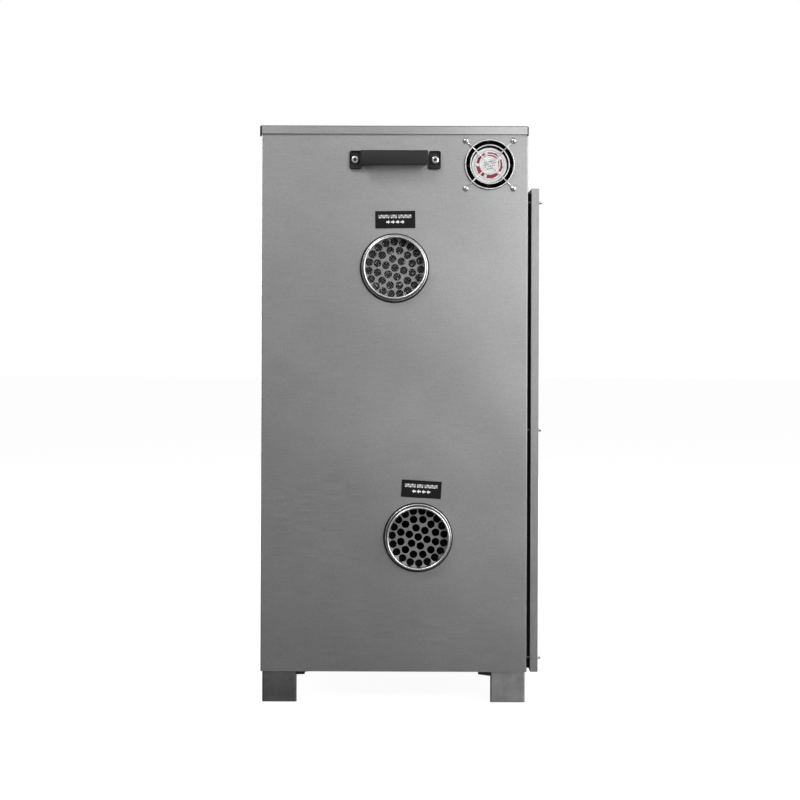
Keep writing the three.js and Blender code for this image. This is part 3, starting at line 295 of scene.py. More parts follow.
# Near black used as painted shade: on the handle pockets' floors, in screw sockets and in cross
# recesses.
recess_shade_black = plastic("recess_shade_black", (0.006, 0.006, 0.006), 0.6, 0.2)
black_plastic = plastic("black_plastic", (0.012, 0.012, 0.013), 0.5)
deep_black = plastic("fan_black", (0.003, 0.003, 0.003), 0.7)
rubber = plastic("rubber", (0.008, 0.008, 0.008), 0.75, 0.4)
label_black = plastic("label_film", (0.008, 0.008, 0.009), 0.5, 0.05, Specular_IOR_Level=0.15)
white_ink = plastic("white_ink", (0.92, 0.92, 0.92), 0.5, 0.05)
sticker = plastic("sticker_white", (1.0, 1.0, 1.0), 0.6, 0.1)
sticker_red = plastic("sticker_red", (0.36, 0.02, 0.05), 0.4, 0.05)
sticker_grey = plastic("sticker_grey", (0.12, 0.12, 0.12), 0.5, 0.05)
white_plastic = plastic("white_plastic", (0.75, 0.75, 0.73), 0.45)
green_plastic = plastic("green_plastic", (0.01, 0.26, 0.05), 0.3, 0.1, Coat_Weight=0.5)
red_plastic = plastic("red_plastic", (0.50, 0.012, 0.012), 0.3, 0.1, Coat_Weight=0.5)
yellow_plastic = plastic("yellow_plastic", (0.75, 0.50, 0.02), 0.4, 0.1)
screen_glass = plastic("display_glass", (0.010, 0.018, 0.022), 0.08, 0.0, Coat_Weight=1.0)
# Black paint on the blowers, made near black with almost no reflection as painted shade deep in the
# ducts behind the screens.
blower_paint_and_shade = plastic("blower_paint_and_shade", (0.003, 0.003, 0.003), 0.85, 0.1, Specular_IOR_Level=0.03)
motor_paint = painted("motor_paint", (0.09, 0.10, 0.11))
heater_metal = heat_tinted()
mat_foam = wire_foam()
rotor_matrix = honeycomb()
filter_fibre = fibre()


# ---- Mesh helpers ----
def piece(name, mesh, material, body, where=None, replaces=(), smooth=35):
    """An object that rides on a body. Its mesh is in its own frame, and where places it."""
    mesh.materials.clear()
    mesh.materials.append(material)
    mesh.polygons.foreach_set("use_smooth", [True] * len(mesh.polygons))
    mesh.set_sharp_from_angle(angle=math.radians(smooth))
    made = bpy.data.objects.new(name, mesh)
    bpy.context.scene.collection.objects.link(made)
    made.matrix_world = where or Matrix.Identity(4)
    bpy.context.view_layer.update()
    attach(made, body)
    if replaces:
        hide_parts(*replaces)


def from_bmesh(bm):
    bmesh.ops.recalc_face_normals(bm, faces=bm.faces)
    mesh = bpy.data.meshes.new("mesh")
    bm.to_mesh(mesh)
    bm.free()
    return mesh


def lathe(profile, sides=96, closed=False):
    """A profile of (radius, height) in mm turned about Z. A closed profile makes a ring."""
    bm = bmesh.new()
    rings = []
    for radius, height in profile:
        if radius == 0:
            rings.append([bm.verts.new((0, 0, height * MM))])
            continue
        ring = []
        for i in range(sides):
            a = 2 * math.pi * i / sides
            r = radius * MM
            ring.append(bm.verts.new((r * math.cos(a), r * math.sin(a), height * MM)))
        rings.append(ring)
    pairs = list(zip(rings, rings[1:] + rings[:1])) if closed else list(zip(rings, rings[1:]))
    for low, high in pairs:
        for i in range(sides):
            j = (i + 1) % sides
            corners = [low[k % len(low)] for k in (i, j)]
            corners += [high[k % len(high)] for k in (j, i)]
            unique = list(dict.fromkeys(corners))
            if len(unique) > 2:
                bm.faces.new(unique)
    return from_bmesh(bm)


def tube(inner, outer, low, high, sides):
    """A plain ring in mm about Z, from its radii and heights."""
    return lathe([(inner, low), (outer, low), (outer, high), (inner, high)], sides, True)


def arc(cx, cy, radius, start, end, steps=6):
    """Points in mm on a circle, with angles in degrees."""
    return [
        (
            cx + radius * math.cos(math.radians(start + (end - start) * i / steps)),
            cy + radius * math.sin(math.radians(start + (end - start) * i / steps)),
        )
        for i in range(steps + 1)
    ]


def circle(cx, cy, radius, count=28):
    return arc(cx, cy, radius, 0, 360 * (count - 1) / count, count - 1)


def rounded(width, height, radius, cx=0.0, cy=0.0):
    """The outline of a rectangle with round corners."""
    w, h = width / 2 - radius, height / 2 - radius
    corners = [(w, h, 0), (-w, h, 90), (-w, -h, 180), (w, -h, 270)]
    return [p for x, y, a in corners for p in arc(cx + x, cy + y, radius, a, a + 90, 5)]


def sheet(outlines, thick, bevel=0.0, low=0.0):
    """A flat plate in mm from closed outlines, the first outside and the others holes."""
    curve = bpy.data.curves.new("outline", "CURVE")
    curve.dimensions = "2D"
    curve.fill_mode = "BOTH"
    curve.extrude = (thick / 2 - bevel) * MM
    curve.bevel_depth = bevel * MM
    curve.bevel_resolution = 1
    curve.offset = -bevel * MM
    for outline in outlines:
        spline = curve.splines.new("POLY")
        spline.points.add(len(outline) - 1)
        for point, (x, y) in zip(spline.points, outline):
            point.co = (x * MM, y * MM, 0, 1)
        spline.use_cyclic_u = True
    return curve_mesh(curve, Matrix.Translation((0, 0, (low + thick / 2) * MM)))


def curve_mesh(curve, shift=None):
    holder = bpy.data.objects.new("holder", curve)
    bpy.context.scene.collection.objects.link(holder)
    solved = holder.evaluated_get(bpy.context.evaluated_depsgraph_get())
    mesh = bpy.data.meshes.new_from_object(solved)
    bpy.data.objects.remove(holder)
    bpy.data.curves.remove(curve)
    if shift:
        mesh.transform(shift)
    return mesh


def wires(paths, radius, resolution=3):
    """Round wire along (points, closed) paths in mm."""
    curve = bpy.data.curves.new("wire", "CURVE")
    curve.dimensions = "3D"
    curve.bevel_depth = radius * MM
    curve.bevel_resolution = resolution
    curve.use_fill_caps = True
    for points, closed in paths:
        spline = curve.splines.new("POLY")
        spline.points.add(len(points) - 1)
        for point, co in zip(spline.points, points):
            point.co = (*(c * MM for c in co), 1)
        spline.use_cyclic_u = closed
    return curve_mesh(curve)


def block(size, centre=(0, 0, 0), bevel=0.6, segments=3):
    """A box in mm with rounded edges."""
    bm = bmesh.new()
    bmesh.ops.create_cube(bm, size=1)
    for v in bm.verts:
        v.co = Vector((v.co[i] * size[i] + centre[i]) * MM for i in range(3))
    if bevel:
        bmesh.ops.bevel(
            bm, geom=bm.edges[:], offset=bevel * MM, segments=segments, affect="EDGES", profile=0.5
        )
    return from_bmesh(bm)


def merged(*meshes):
    """One mesh from several."""
    bm = bmesh.new()
    for mesh in meshes:
        bm.from_mesh(mesh)
    return from_bmesh(bm)


def moved(mesh, x=0.0, y=0.0, z=0.0, turn=0.0):
    mesh.transform(Matrix.Translation((x * MM, y * MM, z * MM)) @ Matrix.Rotation(turn, 4, "Z"))
    return mesh


def around(mesh, radius, angle):
    """A mesh moved out from the centre at an angle, and turned with it."""
    return moved(mesh, radius * math.cos(angle), radius * math.sin(angle), 0, angle + math.pi / 2)


def round_edges(node, width, segments=2, angle=40):
    """Rounds a CAD node's sharp edges with a modifier."""
    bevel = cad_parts[node].modifiers.new("round", "BEVEL")
    bevel.width = width * MM
    bevel.segments = segments
    bevel.limit_method = "ANGLE"
    bevel.angle_limit = math.radians(angle)
    bevel.use_clamp_overlap = True


# ---- Camera, square to the left panel ----
SENSOR_WIDTH = 36
LENS = 68.95
CAMERA_SHIFT_Y = -0.0743
CAMERA_DISTANCE = 2.3
CAMERA_HEIGHT = 0.543
CAMERA_ASIDE = 8.2 * MM  # from the panel's middle, towards the front
CAMERA_ROLL = -0.2

camera = bpy.data.objects.new("camera", bpy.data.cameras.new("camera"))
bpy.context.scene.collection.objects.link(camera)
camera.data.sensor_width = SENSOR_WIDTH
camera.data.lens = LENS
camera.data.shift_y = CAMERA_SHIFT_Y
camera.data.clip_end = 100
camera.location = (middle("left_panel").x + CAMERA_ASIDE, left_y - CAMERA_DISTANCE, CAMERA_HEIGHT)
camera.rotation_euler = (math.pi / 2, math.radians(CAMERA_ROLL), 0)
bpy.context.scene.camera = camera

# ---- CAD nodes that stay ----
FRONT_FEET = ["foot_front_left", "foot_front_right"]
REAR_FEET = ["foot_rear_left", "foot_rear_right"]
FEET = FRONT_FEET + REAR_FEET
BLOWERS = [f"{air}_blower_{part}" for air in ("process", "regen") for part in ("housing", "wheel")]
looks = {
    panel_steel: ["left_panel", "right_panel"],
    side_steel: ["control_panel", "front_frame", "rear_panel"],
    lid_steel: ["filter_holder"],
    cover_steel: ["service_cover"],
    # Front and rear feet take lit and shaded copies of one steel, as painted light and painted
    # shade.
    lit_foot_steel: FRONT_FEET,
    shaded_foot_steel: REAR_FEET,
    zinc: ["base_tray", "electrical_deck", "rotor_cassette", "heater_box", "regen_hood"],
    # The blowers' near black is partly their paint and partly painted shade behind the screens.
    blower_paint_and_shade: BLOWERS,
    aluminium: ["drive_pulley"],
    chrome: ["rotor_axle"],
    rotor_matrix: ["desiccant_rotor"],
    rubber: ["drive_belt", "cover_gasket"],
    motor_paint: ["gear_motor"],
    heater_metal: ["heater_element"],
    deep_black: ["cooling_fan_frame", "cooling_fan_wheel"],
    mat_foam: ["regen_inlet_filter"],
    black_plastic: ["display_module"],
    white_plastic: ["power_contactor"],
}
for material, nodes in looks.items():
    for node in nodes:
        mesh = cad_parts[node].data
        mesh.materials.clear()
        mesh.materials.append(material)

EDGE_ROUNDING = {  # width in mm, and segments
    "service_cover": (1.4, 3),
    "filter_holder": (0.4, 2),
    "display_module": (1.5, 3),
    "power_contactor": (1.2, 2),
    "cover_gasket": (1.2, 3),
}
for foot in FEET:
    EDGE_ROUNDING[foot] = (1.6, 3)
for node, (width, segments) in EDGE_ROUNDING.items():
    round_edges(node, width, segments)

# ---- Duct collars and screens ----
DUCTS = (  # name, face, and the turn of its screen in degrees
    ("regen_inlet", on_left, 0),
    ("wet_outlet", on_left, 180),
    ("dry_outlet", on_right, None),
)
DUCT_SIDES = 128
BORE_R = 44.8
SPIGOT_R = 47.2
SPIGOT_HEIGHT = 18.0
RIM_ROLL = 1.7
BEAD_R = 50.0
BEAD_ROLL = 1.1
# A dark ring on the panel round each collar: a rubber seal, set off centre so it also serves as a
# painted shadow.
SEAL_AND_SHADOW_R = 52.3
SEAL_AND_SHADOW_INNER_R = 49.5
SEAL_AND_SHADOW_HEIGHT = 1.5
RING_SHADOW_SHIFT = -0.4
CREVICE_SHADE = (47.1, 47.6, 0.4, 9.0)  # dark sleeve on the spigot's lower half, painted shade in the crevice by the bead: radii and heights
SCREEN_R = 54
SCREEN_SHEET = 1.1
SCREEN_HOLE_R = 5.8
SCREEN_RINGS = ((1, 0, 0), (6, 13.9, 14), (12, 27, 15), (19, 39.3, 1.5))  # holes, radius, start


def collar_profile():
    """A spigot with a rolled rim, standing inside a low bead on the panel."""
    rim = arc(SPIGOT_R - 1.3, SPIGOT_HEIGHT - RIM_ROLL, RIM_ROLL, -40, 215, 14)
    bead = arc(BEAD_R - BEAD_ROLL, 1.9, BEAD_ROLL, 0, 180, 12)
    foot = [(BORE_R, -0.9), (SPIGOT_R, -0.9), (SPIGOT_R, 0.3), (BEAD_R, 0.3)]
    return foot + bead + [(BEAD_R - 2 * BEAD_ROLL, 0.9), (SPIGOT_R, 0.9)] + rim + [(BORE_R, 14.8)]


def collar(name, place):
    spigot = lathe(collar_profile(), DUCT_SIDES, True)
    edge = [(SEAL_AND_SHADOW_R, 0.1), (SEAL_AND_SHADOW_R - 0.1, 1.1), (SEAL_AND_SHADOW_R - 0.6, SEAL_AND_SHADOW_HEIGHT)]
    seal_and_shadow = lathe([(SEAL_AND_SHADOW_INNER_R, 0.1), *edge, (SEAL_AND_SHADOW_INNER_R, SEAL_AND_SHADOW_HEIGHT)], DUCT_SIDES, True)
    # The ring is shifted off centre as a painted shadow, and the sleeve is painted shade.
    seal_and_shadow = merged(moved(seal_and_shadow, RING_SHADOW_SHIFT, RING_SHADOW_SHIFT), tube(*CREVICE_SHADE, DUCT_SIDES))
    piece(name + "_spigot", spigot, rim_chrome, "cabinet", place, [name])
    piece(name + "_seal", seal_and_shadow, rubber, "cabinet", place)


def screen(name, place, turn):
    """A stamped screen: rings of holes, each ring with its own starting angle."""
    outlines = [circle(0, 0, SCREEN_R, 96)]
    for count, radius, start in SCREEN_RINGS:
        for i in range(count):
            a = math.radians(turn - start + i * 360 / count)
            outlines.append(circle(radius * math.sin(a), radius * math.cos(a), SCREEN_HOLE_R))
    mesh = sheet(outlines, SCREEN_SHEET, 0.25, -SCREEN_SHEET / 2)
    piece(name + "_sheet", mesh, screen_steel, "cabinet", place, [name])


for name, face, turn in DUCTS:
    at = middle(name + "_collar")
    collar(name + "_collar", face(at.x, at.z))
    if turn is not None:
        sunk = left_y - middle(name + "_screen").y
        screen(name + "_screen", face(at.x, at.z, sunk), turn)

# ---- Labels: plain plates with strokes and arrows in place of words ----
LABEL_SIZE = (60, 26)
LABEL_SHEET = 0.8
LABEL_LIFT = 0.3
PRINT_GROUPS = (5, 3, 6)
PRINT_HEIGHT = 5.0
PRINT_Y = 4.7
ARROW_SIZE = 2.9
ARROW_PITCH = 7.2
ARROW_Y = -3.6


def strokes(groups, height, centre_y):
    """Notched blocks in groups, which stand for a line of print."""
    pitch, gap, wide, notch = 3.3, 1.6, 2.4, 1.1
    width = sum(groups) * pitch + (len(groups) - 1) * gap
    x = -width / 2
    top, bottom = centre_y + height / 2, centre_y - height / 2
    blocks = []
    for count in groups:
        for i in range(count):
            a, b = x + (wide - notch) / 2, x + (wide + notch) / 2
            if i % 2:
                inner = [(b, bottom), (b, centre_y + 0.7), (a, centre_y + 0.7), (a, bottom)]
                blocks.append([(x, top), (x + wide, top), (x + wide, bottom), *inner, (x, bottom)])
            else:
                inner = [(a, top), (a, centre_y - 0.9), (b, centre_y - 0.9), (b, top)]
                blocks.append([(x, bottom), (x, top), *inner, (x + wide, top), (x + wide, bottom)])
            x += pitch
        x += gap
    return blocks


def arrow(x, y, size, direction=1):
    s, narrow = size * direction, size * 0.4
    head = [(x, y - size), (x + s, y), (x, y + size)]
    return [(x - s, y - narrow), (x, y - narrow), *head, (x, y + narrow), (x - s, y + narrow)]


def label(node, tilt, direction):
    at = middle(node)
    place = on_left(at.x, at.z) @ Matrix.Rotation(math.radians(tilt), 4, "Z")
    plate = sheet([rounded(*LABEL_SIZE, 0.8)], LABEL_SHEET, 0.12, LABEL_LIFT)
    outlines = strokes(PRINT_GROUPS, PRINT_HEIGHT, PRINT_Y)
    outlines += [arrow((i - 1.5) * ARROW_PITCH, ARROW_Y, ARROW_SIZE, direction) for i in range(4)]
    marks = [sheet([outline], 0.12, 0, LABEL_LIFT + LABEL_SHEET - 0.02) for outline in outlines]
    piece(node + "_plate", plate, label_black, "cabinet", place, [node])
    piece(node + "_marks", merged(*marks), white_ink, "cabinet", place)


label("regen_inlet_label", 0.8, 1)
label("wet_outlet_label", -3.3, -1)

# ---- Handles ----
HANDLE_HOLES = 120
HANDLE_LOW = 1.0 * MM  # below the CAD handle's middle
GRIP_OUTER, GRIP_INNER = 50.0, 42.0  # outside and inside half lengths
GRIP_TOP, GRIP_UNDER = 38.0, 29.0  # heights above the panel
GRIP_WIDTH = 21.8
GRIP_BEND = 3
GRIP_SHIFT = -1.4
LEG_FOOT = 1.0
LEG_HEIGHT = 5  # the legs narrow below this height
LEG_SHARE, LEG_RISE = 0.6, 3.5  # how much narrower they get, and how far up they move
PAD = (17.8, 27.2, 3.4)  # width, height and corner radius
PAD_X = 59.4
PAD_LOW, PAD_BASE, PAD_WALL = 0.3, 4.4, 4.3
POCKET = (15.0, 19.8, 2.4)
POCKET_Y = 2.3
HANDLE_SCREW = (6.4, 3.4)  # head's radius and height
HANDLE_SCREW_SEAT = 5.0
SOCKET_R = 2.9


def handle_meshes():
    """The bar and its two legs as one bent strip, the two pads with a sunken pocket, and painted
    shade on each pocket's floor.
    """
    bend = GRIP_BEND
    x, z = GRIP_OUTER - bend, GRIP_TOP - bend
    outline = [(GRIP_OUTER, LEG_FOOT)] + arc(x, z, bend, 0, 90, 6) + arc(-x, z, bend, 90, 180, 6)
    outline += [(-GRIP_OUTER, LEG_FOOT), (-GRIP_INNER, LEG_FOOT)]
    x, z = GRIP_INNER - bend, GRIP_UNDER - bend
    outline += arc(-x, z, bend, 180, 90, 4) + arc(x, z, bend, 90, 0, 4) + [(GRIP_INNER, LEG_FOOT)]
    bridge = sheet([outline], GRIP_WIDTH, 0.8, -GRIP_WIDTH / 2)
    upright = Matrix.Rotation(math.pi / 2, 4, "X")
    bridge.transform(Matrix.Translation((GRIP_SHIFT * MM, 0, 0)) @ upright)
    for v in bridge.vertices:
        if v.co.z < LEG_HEIGHT * MM:
            v.co.y = v.co.y * LEG_SHARE + LEG_RISE * MM
    pads, pocket_shades = [], []
    wall_low = PAD_LOW + PAD_BASE - 0.1
    for side in (-1, 1):
        base = sheet([rounded(*PAD)], PAD_BASE, 0.3, PAD_LOW)
        wall = sheet([rounded(*PAD), rounded(*POCKET, 0, POCKET_Y)], PAD_WALL, 0.5, wall_low)
        pads.append(moved(merged(base, wall), side * PAD_X))
        # A dark block on each pocket's floor, as painted shade.
        pocket_shade_size = (POCKET[0] - 0.1, POCKET[1] - 0.1, 0.3)
        pocket_shades.append(block(pocket_shade_size, (side * PAD_X, POCKET_Y, wall_low + 0.15), 0.1, 1))
    return merged(bridge, *pads), merged(*pocket_shades)


def socket_screw(name, where, radius, height, nodes):
    """A domed head with a hexagon socket, and a dark floor in the socket as painted shade."""
    hexagon = circle(0, 0, SOCKET_R, 6)
    low = height * 0.35
    edge = [(radius, 0), (radius, low)] + arc(radius * 0.62, low, radius * 0.38, 0, 70, 5)
    well = [(SOCKET_R + 0.05, height), (SOCKET_R - 0.15, height - 1.6), (0, height - 1.8)]
    collar_plate = sheet([circle(0, 0, SOCKET_R + 0.2, 32), hexagon], 0.35, 0, height - 0.3)
    head = merged(lathe([(0, 0)] + edge + well, 48), collar_plate)
    dark = sheet([hexagon], 0.2, 0, height - 1.5)
    piece(name, head, chrome, "cabinet", where, nodes)
    piece(name + "_socket", dark, recess_shade_black, "cabinet", where)


def handle(node, face, screws):
    at = middle(node)
    place = face(at.x, at.z - HANDLE_LOW)
    body, pocket_shades = handle_meshes()
    piece(node + "_grip", body, handle_plastic, "cabinet", place, [node])
    piece(node + "_pockets", pocket_shades, recess_shade_black, "cabinet", place)
    for i, side in enumerate((-1, 1)):
        seat = Matrix.Translation((side * HANDLE_HOLES / 2 * MM, 0, HANDLE_SCREW_SEAT * MM))
        where = place @ seat @ Matrix.Rotation(0.4 + i, 4, "Z")
        socket_screw(f"{node}_screw_head_{i + 1}", where, *HANDLE_SCREW, screws[i : i + 1])


handle("left_handle", on_left, ["left_handle_screw_1", "left_handle_screw_2"])
handle("right_handle", on_right, [])

# ---- Cooling fan ----
FAN_HOLES = 71.5 / 2
FAN_CORNERS = ((-1, -1), (-1, 1), (1, -1), (1, 1))
GUARD_RINGS = (15, 29, 36.6)
GUARD_TOP, STAY_TOP = 4.7, 3.6
GUARD_WIRE_R = 1.0
FAN_SCREW = (3.9, 2.6)  # head's radius and height
FAN_SCREW_SEAT = 2.3
EYE_R, EYE_TOP = 3.6, 1.4
STICKER_R = 26.3
STICKER_SUNK = 8.2 * MM
STICKER_TURN = 14
RED_OUTER, RED_INNER, RED_DASHES, RED_SWEEP = 19.8, 14.0, 5, 57
fan = middle("cooling_fan_frame")
fan_place = on_left(fan.x, fan.z)


def flat_ring(radius, height, count=96):
    return [(x, y, height) for x, y in circle(0, 0, radius, count)]


def guard():
    """Concentric rings on two crossed stays that step down to an eye at each screw."""
    paths = [(flat_ring(radius, GUARD_TOP), True) for radius in GUARD_RINGS]
    outer = GUARD_RINGS[-1]
    reach = FAN_HOLES * math.sqrt(2) - EYE_R
    half = [(outer, STAY_TOP), (outer + 1.9, STAY_TOP + 0.4), (reach, EYE_TOP)]
    run = [(-d, h) for d, h in reversed(half)] + half
    for degrees in (45, 135):
        c, s = math.cos(math.radians(degrees)), math.sin(math.radians(degrees))
        paths.append(([(d * c, d * s, h) for d, h in run], False))
    for a, b in FAN_CORNERS:
        x, y = a * FAN_HOLES, b * FAN_HOLES
        eye = [(dx + x, dy + y, h) for dx, dy, h in flat_ring(EYE_R, EYE_TOP, 32)]
        paths.append((eye, True))
    return wires(paths, GUARD_WIRE_R)


def cross_screw(name, where, radius, height, nodes=(), look=chrome):
    """A pan head with a cross recess, drawn as a dark cross of painted shade set into the crown."""
    dome = arc(0, -radius * 0.9, math.hypot(radius * 0.8, radius * 0.9 + height - 0.6), 0, 90, 12)
    crown = [(r, h) for r, h in dome if r < radius * 0.92 and h > height * 0.45]
    top = crown[-1][1]
    head = lathe([(0, 0), (radius, 0), (radius, height * 0.4)] + crown[:-1] + [(0, top)], 40)
    long, narrow = radius * 0.95, radius * 0.24
    arms = [block((x, y, 0.5), (0, 0, top), 0.05, 1) for x, y in ((long, narrow), (narrow, long))]
    piece(name, head, look, "cabinet", where, nodes)
    piece(name + "_recess", merged(*arms), recess_shade_black, "cabinet", where)


def ink(outline, *holes):
    """A film of print, just proud of its ground."""
    return sheet([outline, *holes], 0.1, 0, 0.02)


def oblong(x, y, width, height):
    """A rectangle's outline from its lower left corner."""
    return [(x, y), (x + width, y), (x + width, y + height), (x, y + height)]


def fan_sticker():
    """A round white sticker with a broken red ring and a few grey strokes."""
    r = STICKER_R
    disc = lathe([(0, 0), (r - 0.7, 0), (r, -0.25), (r, -0.6), (r - 0.9, -5.4), (0, -5.4)], 96)
    dashes = []
    for i in range(RED_DASHES):
        start = 99 + i * 360 / RED_DASHES
        outer = arc(0, 0, RED_OUTER, start, start + RED_SWEEP, 3)
        dashes.append(ink(outer + arc(0, 0, RED_INNER, start + RED_SWEEP, start, 12)))
    grey = [ink(circle(0, 0, 22.6, 96), circle(0, 0, 22.2, 96))]
    for y, half in ((5.2, 6.5), (1.8, 8.0), (-1.6, 7.0), (-5.0, 5.0)):
        x = -half
        while x < half:
            step = 1.0 + 1.6 * random.random()
            grey.append(ink(oblong(x, y - 0.7, step, 1.4)))
            x += step + 0.9
    for degrees in range(100, 440, 34):
        grey.append(around(ink(oblong(-1.6, -0.35, 3.2, 0.7)), 20.0, math.radians(degrees)))
    return disc, merged(*dashes), merged(*grey)


piece(
    "fan_guard_wires",
    guard(),
    guard_chrome,
    "cabinet",
    fan_place,
    ["cooling_fan_guard"],
)
for i, (a, b) in enumerate(FAN_CORNERS):
    seat = Matrix.Translation((a * FAN_HOLES * MM, b * FAN_HOLES * MM, FAN_SCREW_SEAT * MM))
    where = fan_place @ seat @ Matrix.Rotation(0.5 + i * 1.3, 4, "Z")
    nodes = [f"cooling_fan_screw_{i + 1}"]
    cross_screw(f"fan_screw_head_{i + 1}", where, *FAN_SCREW, nodes, guard_chrome)
disc, red, grey = fan_sticker()
sticker_turn = Matrix.Rotation(math.radians(STICKER_TURN), 4, "Z")
sticker_place = fan_place @ Matrix.Translation((0, 0, -STICKER_SUNK)) @ sticker_turn
piece("fan_sticker_disc", disc, sticker, "cabinet", sticker_place)
piece("fan_sticker_ring", red, sticker_red, "cabinet", sticker_place)
piece("fan_sticker_strokes", grey, sticker_grey, "cabinet", sticker_place)

# ---- Cover screws, with a turned collar and a domed end ----
HEAD_COLLAR_R, HEAD_NECK_R, HEAD_END_R = 3.1, 1.9, 2.4
SHANK_LENGTH = 24
cover_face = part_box("service_cover")[1].x
for i in range(1, 7):
    at = middle(f"cover_screw_{i}")
    place = on_front(at.y, at.z, 0, cover_face)
    tip = (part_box(f"cover_screw_{i}")[1].x - cover_face) / MM
    profile = [(0, 0.1), (HEAD_COLLAR_R, 0.1), (HEAD_COLLAR_R, 0.9)]
    profile += [(HEAD_NECK_R, 1.2), (HEAD_NECK_R, 1.8), (HEAD_END_R, 2.0)]
    profile += [(HEAD_END_R, tip - 0.6), (1.7, tip), (0, tip)]
    end = [(0, -SHANK_LENGTH), (1.7, -SHANK_LENGTH), (HEAD_NECK_R, 1 - SHANK_LENGTH)]
    shank = lathe([*end, (HEAD_NECK_R, 0.1), (0, 0.1)], 24)
    head = lathe(profile, 32)
    nodes = [f"cover_screw_{i}"]
    piece(f"cover_screw_head_{i}", head, chrome, "cover", place, nodes)
    piece(f"cover_screw_shank_{i}", shank, motor_paint, "cover", place)

# ---- Black rubber shims under the feet's flanges, the front ones wedge shaped ----
SHIM_WIDTH = 26
SHIM_INSET = 13.4 * MM  # from the foot's outer face
SHIM_TOP = 1.5
FLANGE_REACH = 15  # of the foot's flange past its leg
for name in FEET:
    low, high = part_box(name)
    front = name in FRONT_FEET
    way = 1 if front else -1
    length, tip, root = (16.0, 4.2, 6.6) if front else (10.0, 4.6, 5.0)
    x = (low.x if front else high.x) + way * (FLANGE_REACH - length) * MM
    y = low.y + SHIM_INSET if middle(name).y < 0 else high.y - SHIM_INSET
    inner = way * (length + 4)
    outline = [(0, -SHIM_TOP), (inner, -SHIM_TOP), (inner, -root), (0, -tip)]
    shim = sheet([outline[::way]], SHIM_WIDTH, 0.3, -SHIM_WIDTH / 2)
    shim.transform(Matrix.Rotation(math.pi / 2, 4, "X"))
    place = Matrix.Translation((x, y, high.z))
    piece(name + "_shim", shim, deep_black, "cabinet", place)

# ---- Lid: a folded pan, with dark blocks of painted shade in the gaps at its corners ----
LID_SHORT_REAR, LID_SHORT_FRONT = 2.6, 4.6  # how much shorter it is than the CAD lid
LID_PLATE = 1.2
SKIRT_SHEET = 1.5
REAR_GAP_SHADE, FRONT_GAP_SHADE = (2.8, 15.4), (1.8, 13.4)  # width and height
low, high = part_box("top_lid")
lid_left, lid_right = low.x / MM + LID_SHORT_REAR, high.x / MM - LID_SHORT_FRONT
lid_near, lid_far, lid_top, lid_foot = low.y / MM, high.y / MM, high.z / MM, low.z / MM
lid_size = (lid_right - lid_left, lid_far - lid_near)
lid_inside = [side - 2 * SKIRT_SHEET for side in lid_size]
lid_centre = ((lid_left + lid_right) / 2, (lid_near + lid_far) / 2)
lid_edge = rounded(*lid_size, 1.0, *lid_centre)
skirt_outlines = [lid_edge, rounded(*lid_inside, 0.5, *lid_centre)]
skirt = sheet(skirt_outlines, lid_top - lid_foot - 1, 0.0, lid_foot)
plate = sheet([lid_edge], LID_PLATE, 0.5, lid_top - LID_PLATE)
piece("top_lid_pan", skirt, lid_steel, "cabinet", None, ["top_lid"], 20)
# The top plate is darker than the skirt as painted shade.
piece("top_lid_plate", plate, shaded_lid_top_steel, "cabinet", None, (), 20)
# Painted shade: thin dark blocks at the lid's corners stand in for the shade in the corner gaps.
gap_shades = []
for x, inward, (wide, tall) in ((lid_left, 1, REAR_GAP_SHADE), (lid_right, -1, FRONT_GAP_SHADE)):
    for y, back in ((lid_near, 1), (lid_far, -1)):
        centre = (x + inward * 0.2, y + back * 0.9, lid_top - 1.3 - tall / 2)
        gap_shades.append(block((wide, 2.4, tall), centre, 0.3, 2))
piece("lid_corner_seams", merged(*gap_shades), deep_black, "cabinet")

# ---- Controls on the front band ----
BARREL_R, BARREL_LOW = 10.6, -14  # of the button's, knob's and stop's bodies in the band
DISPLAY_BARS = ((5, 6, 12), (22, 6, 12), (8, -6, 18))  # x, y and length
STOP_HEAD_HEIGHT = 27.4


def dial(node):
    at = middle(node)
    return on_front(at.y, at.z)


def turned_part(profile, sides):
    """A turned part with a barrel that goes through the band."""
    return lathe([(0, BARREL_LOW), (BARREL_R, BARREL_LOW), *profile], sides)


display = dial("display_module")
reach = (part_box("display_module")[1].x - front_x) / MM
window = moved(sheet([rounded(58, 30, 2)], 0.5, 0.15, reach), -12)
keys = [moved(sheet([rounded(9, 7, 1.5)], 1.2, 0.3, reach), 33, y) for y in (11, 0, -11)]
bars = []
for x, y, length in DISPLAY_BARS:
    bars.append(sheet([rounded(length, 3.2, 0.6, x - 26, y)], 0.1, 0, reach + 0.5))
piece("display_window", window, screen_glass, "cabinet", display)
piece("display_keys", merged(*keys), motor_paint, "cabinet", display)
piece("display_bars", merged(*bars), white_ink, "cabinet", display)

start = dial("start_button")
button = turned_part([(BARREL_R, 5.2)] + arc(9.4, 5.2, 1.2, 0, 90, 4) + [(8.4, 6.5), (0, 5.9)], 64)
bezel = lathe([(11.4, 0.3), (15.5, 0.3), (15.5, 1.2), (14.2, 2.4), (11.6, 2.4)], 72, True)
piece("start_button_cap", button, green_plastic, "start", start, ["start_button"])
piece("start_button_bezel", bezel, chrome, "cabinet", start)

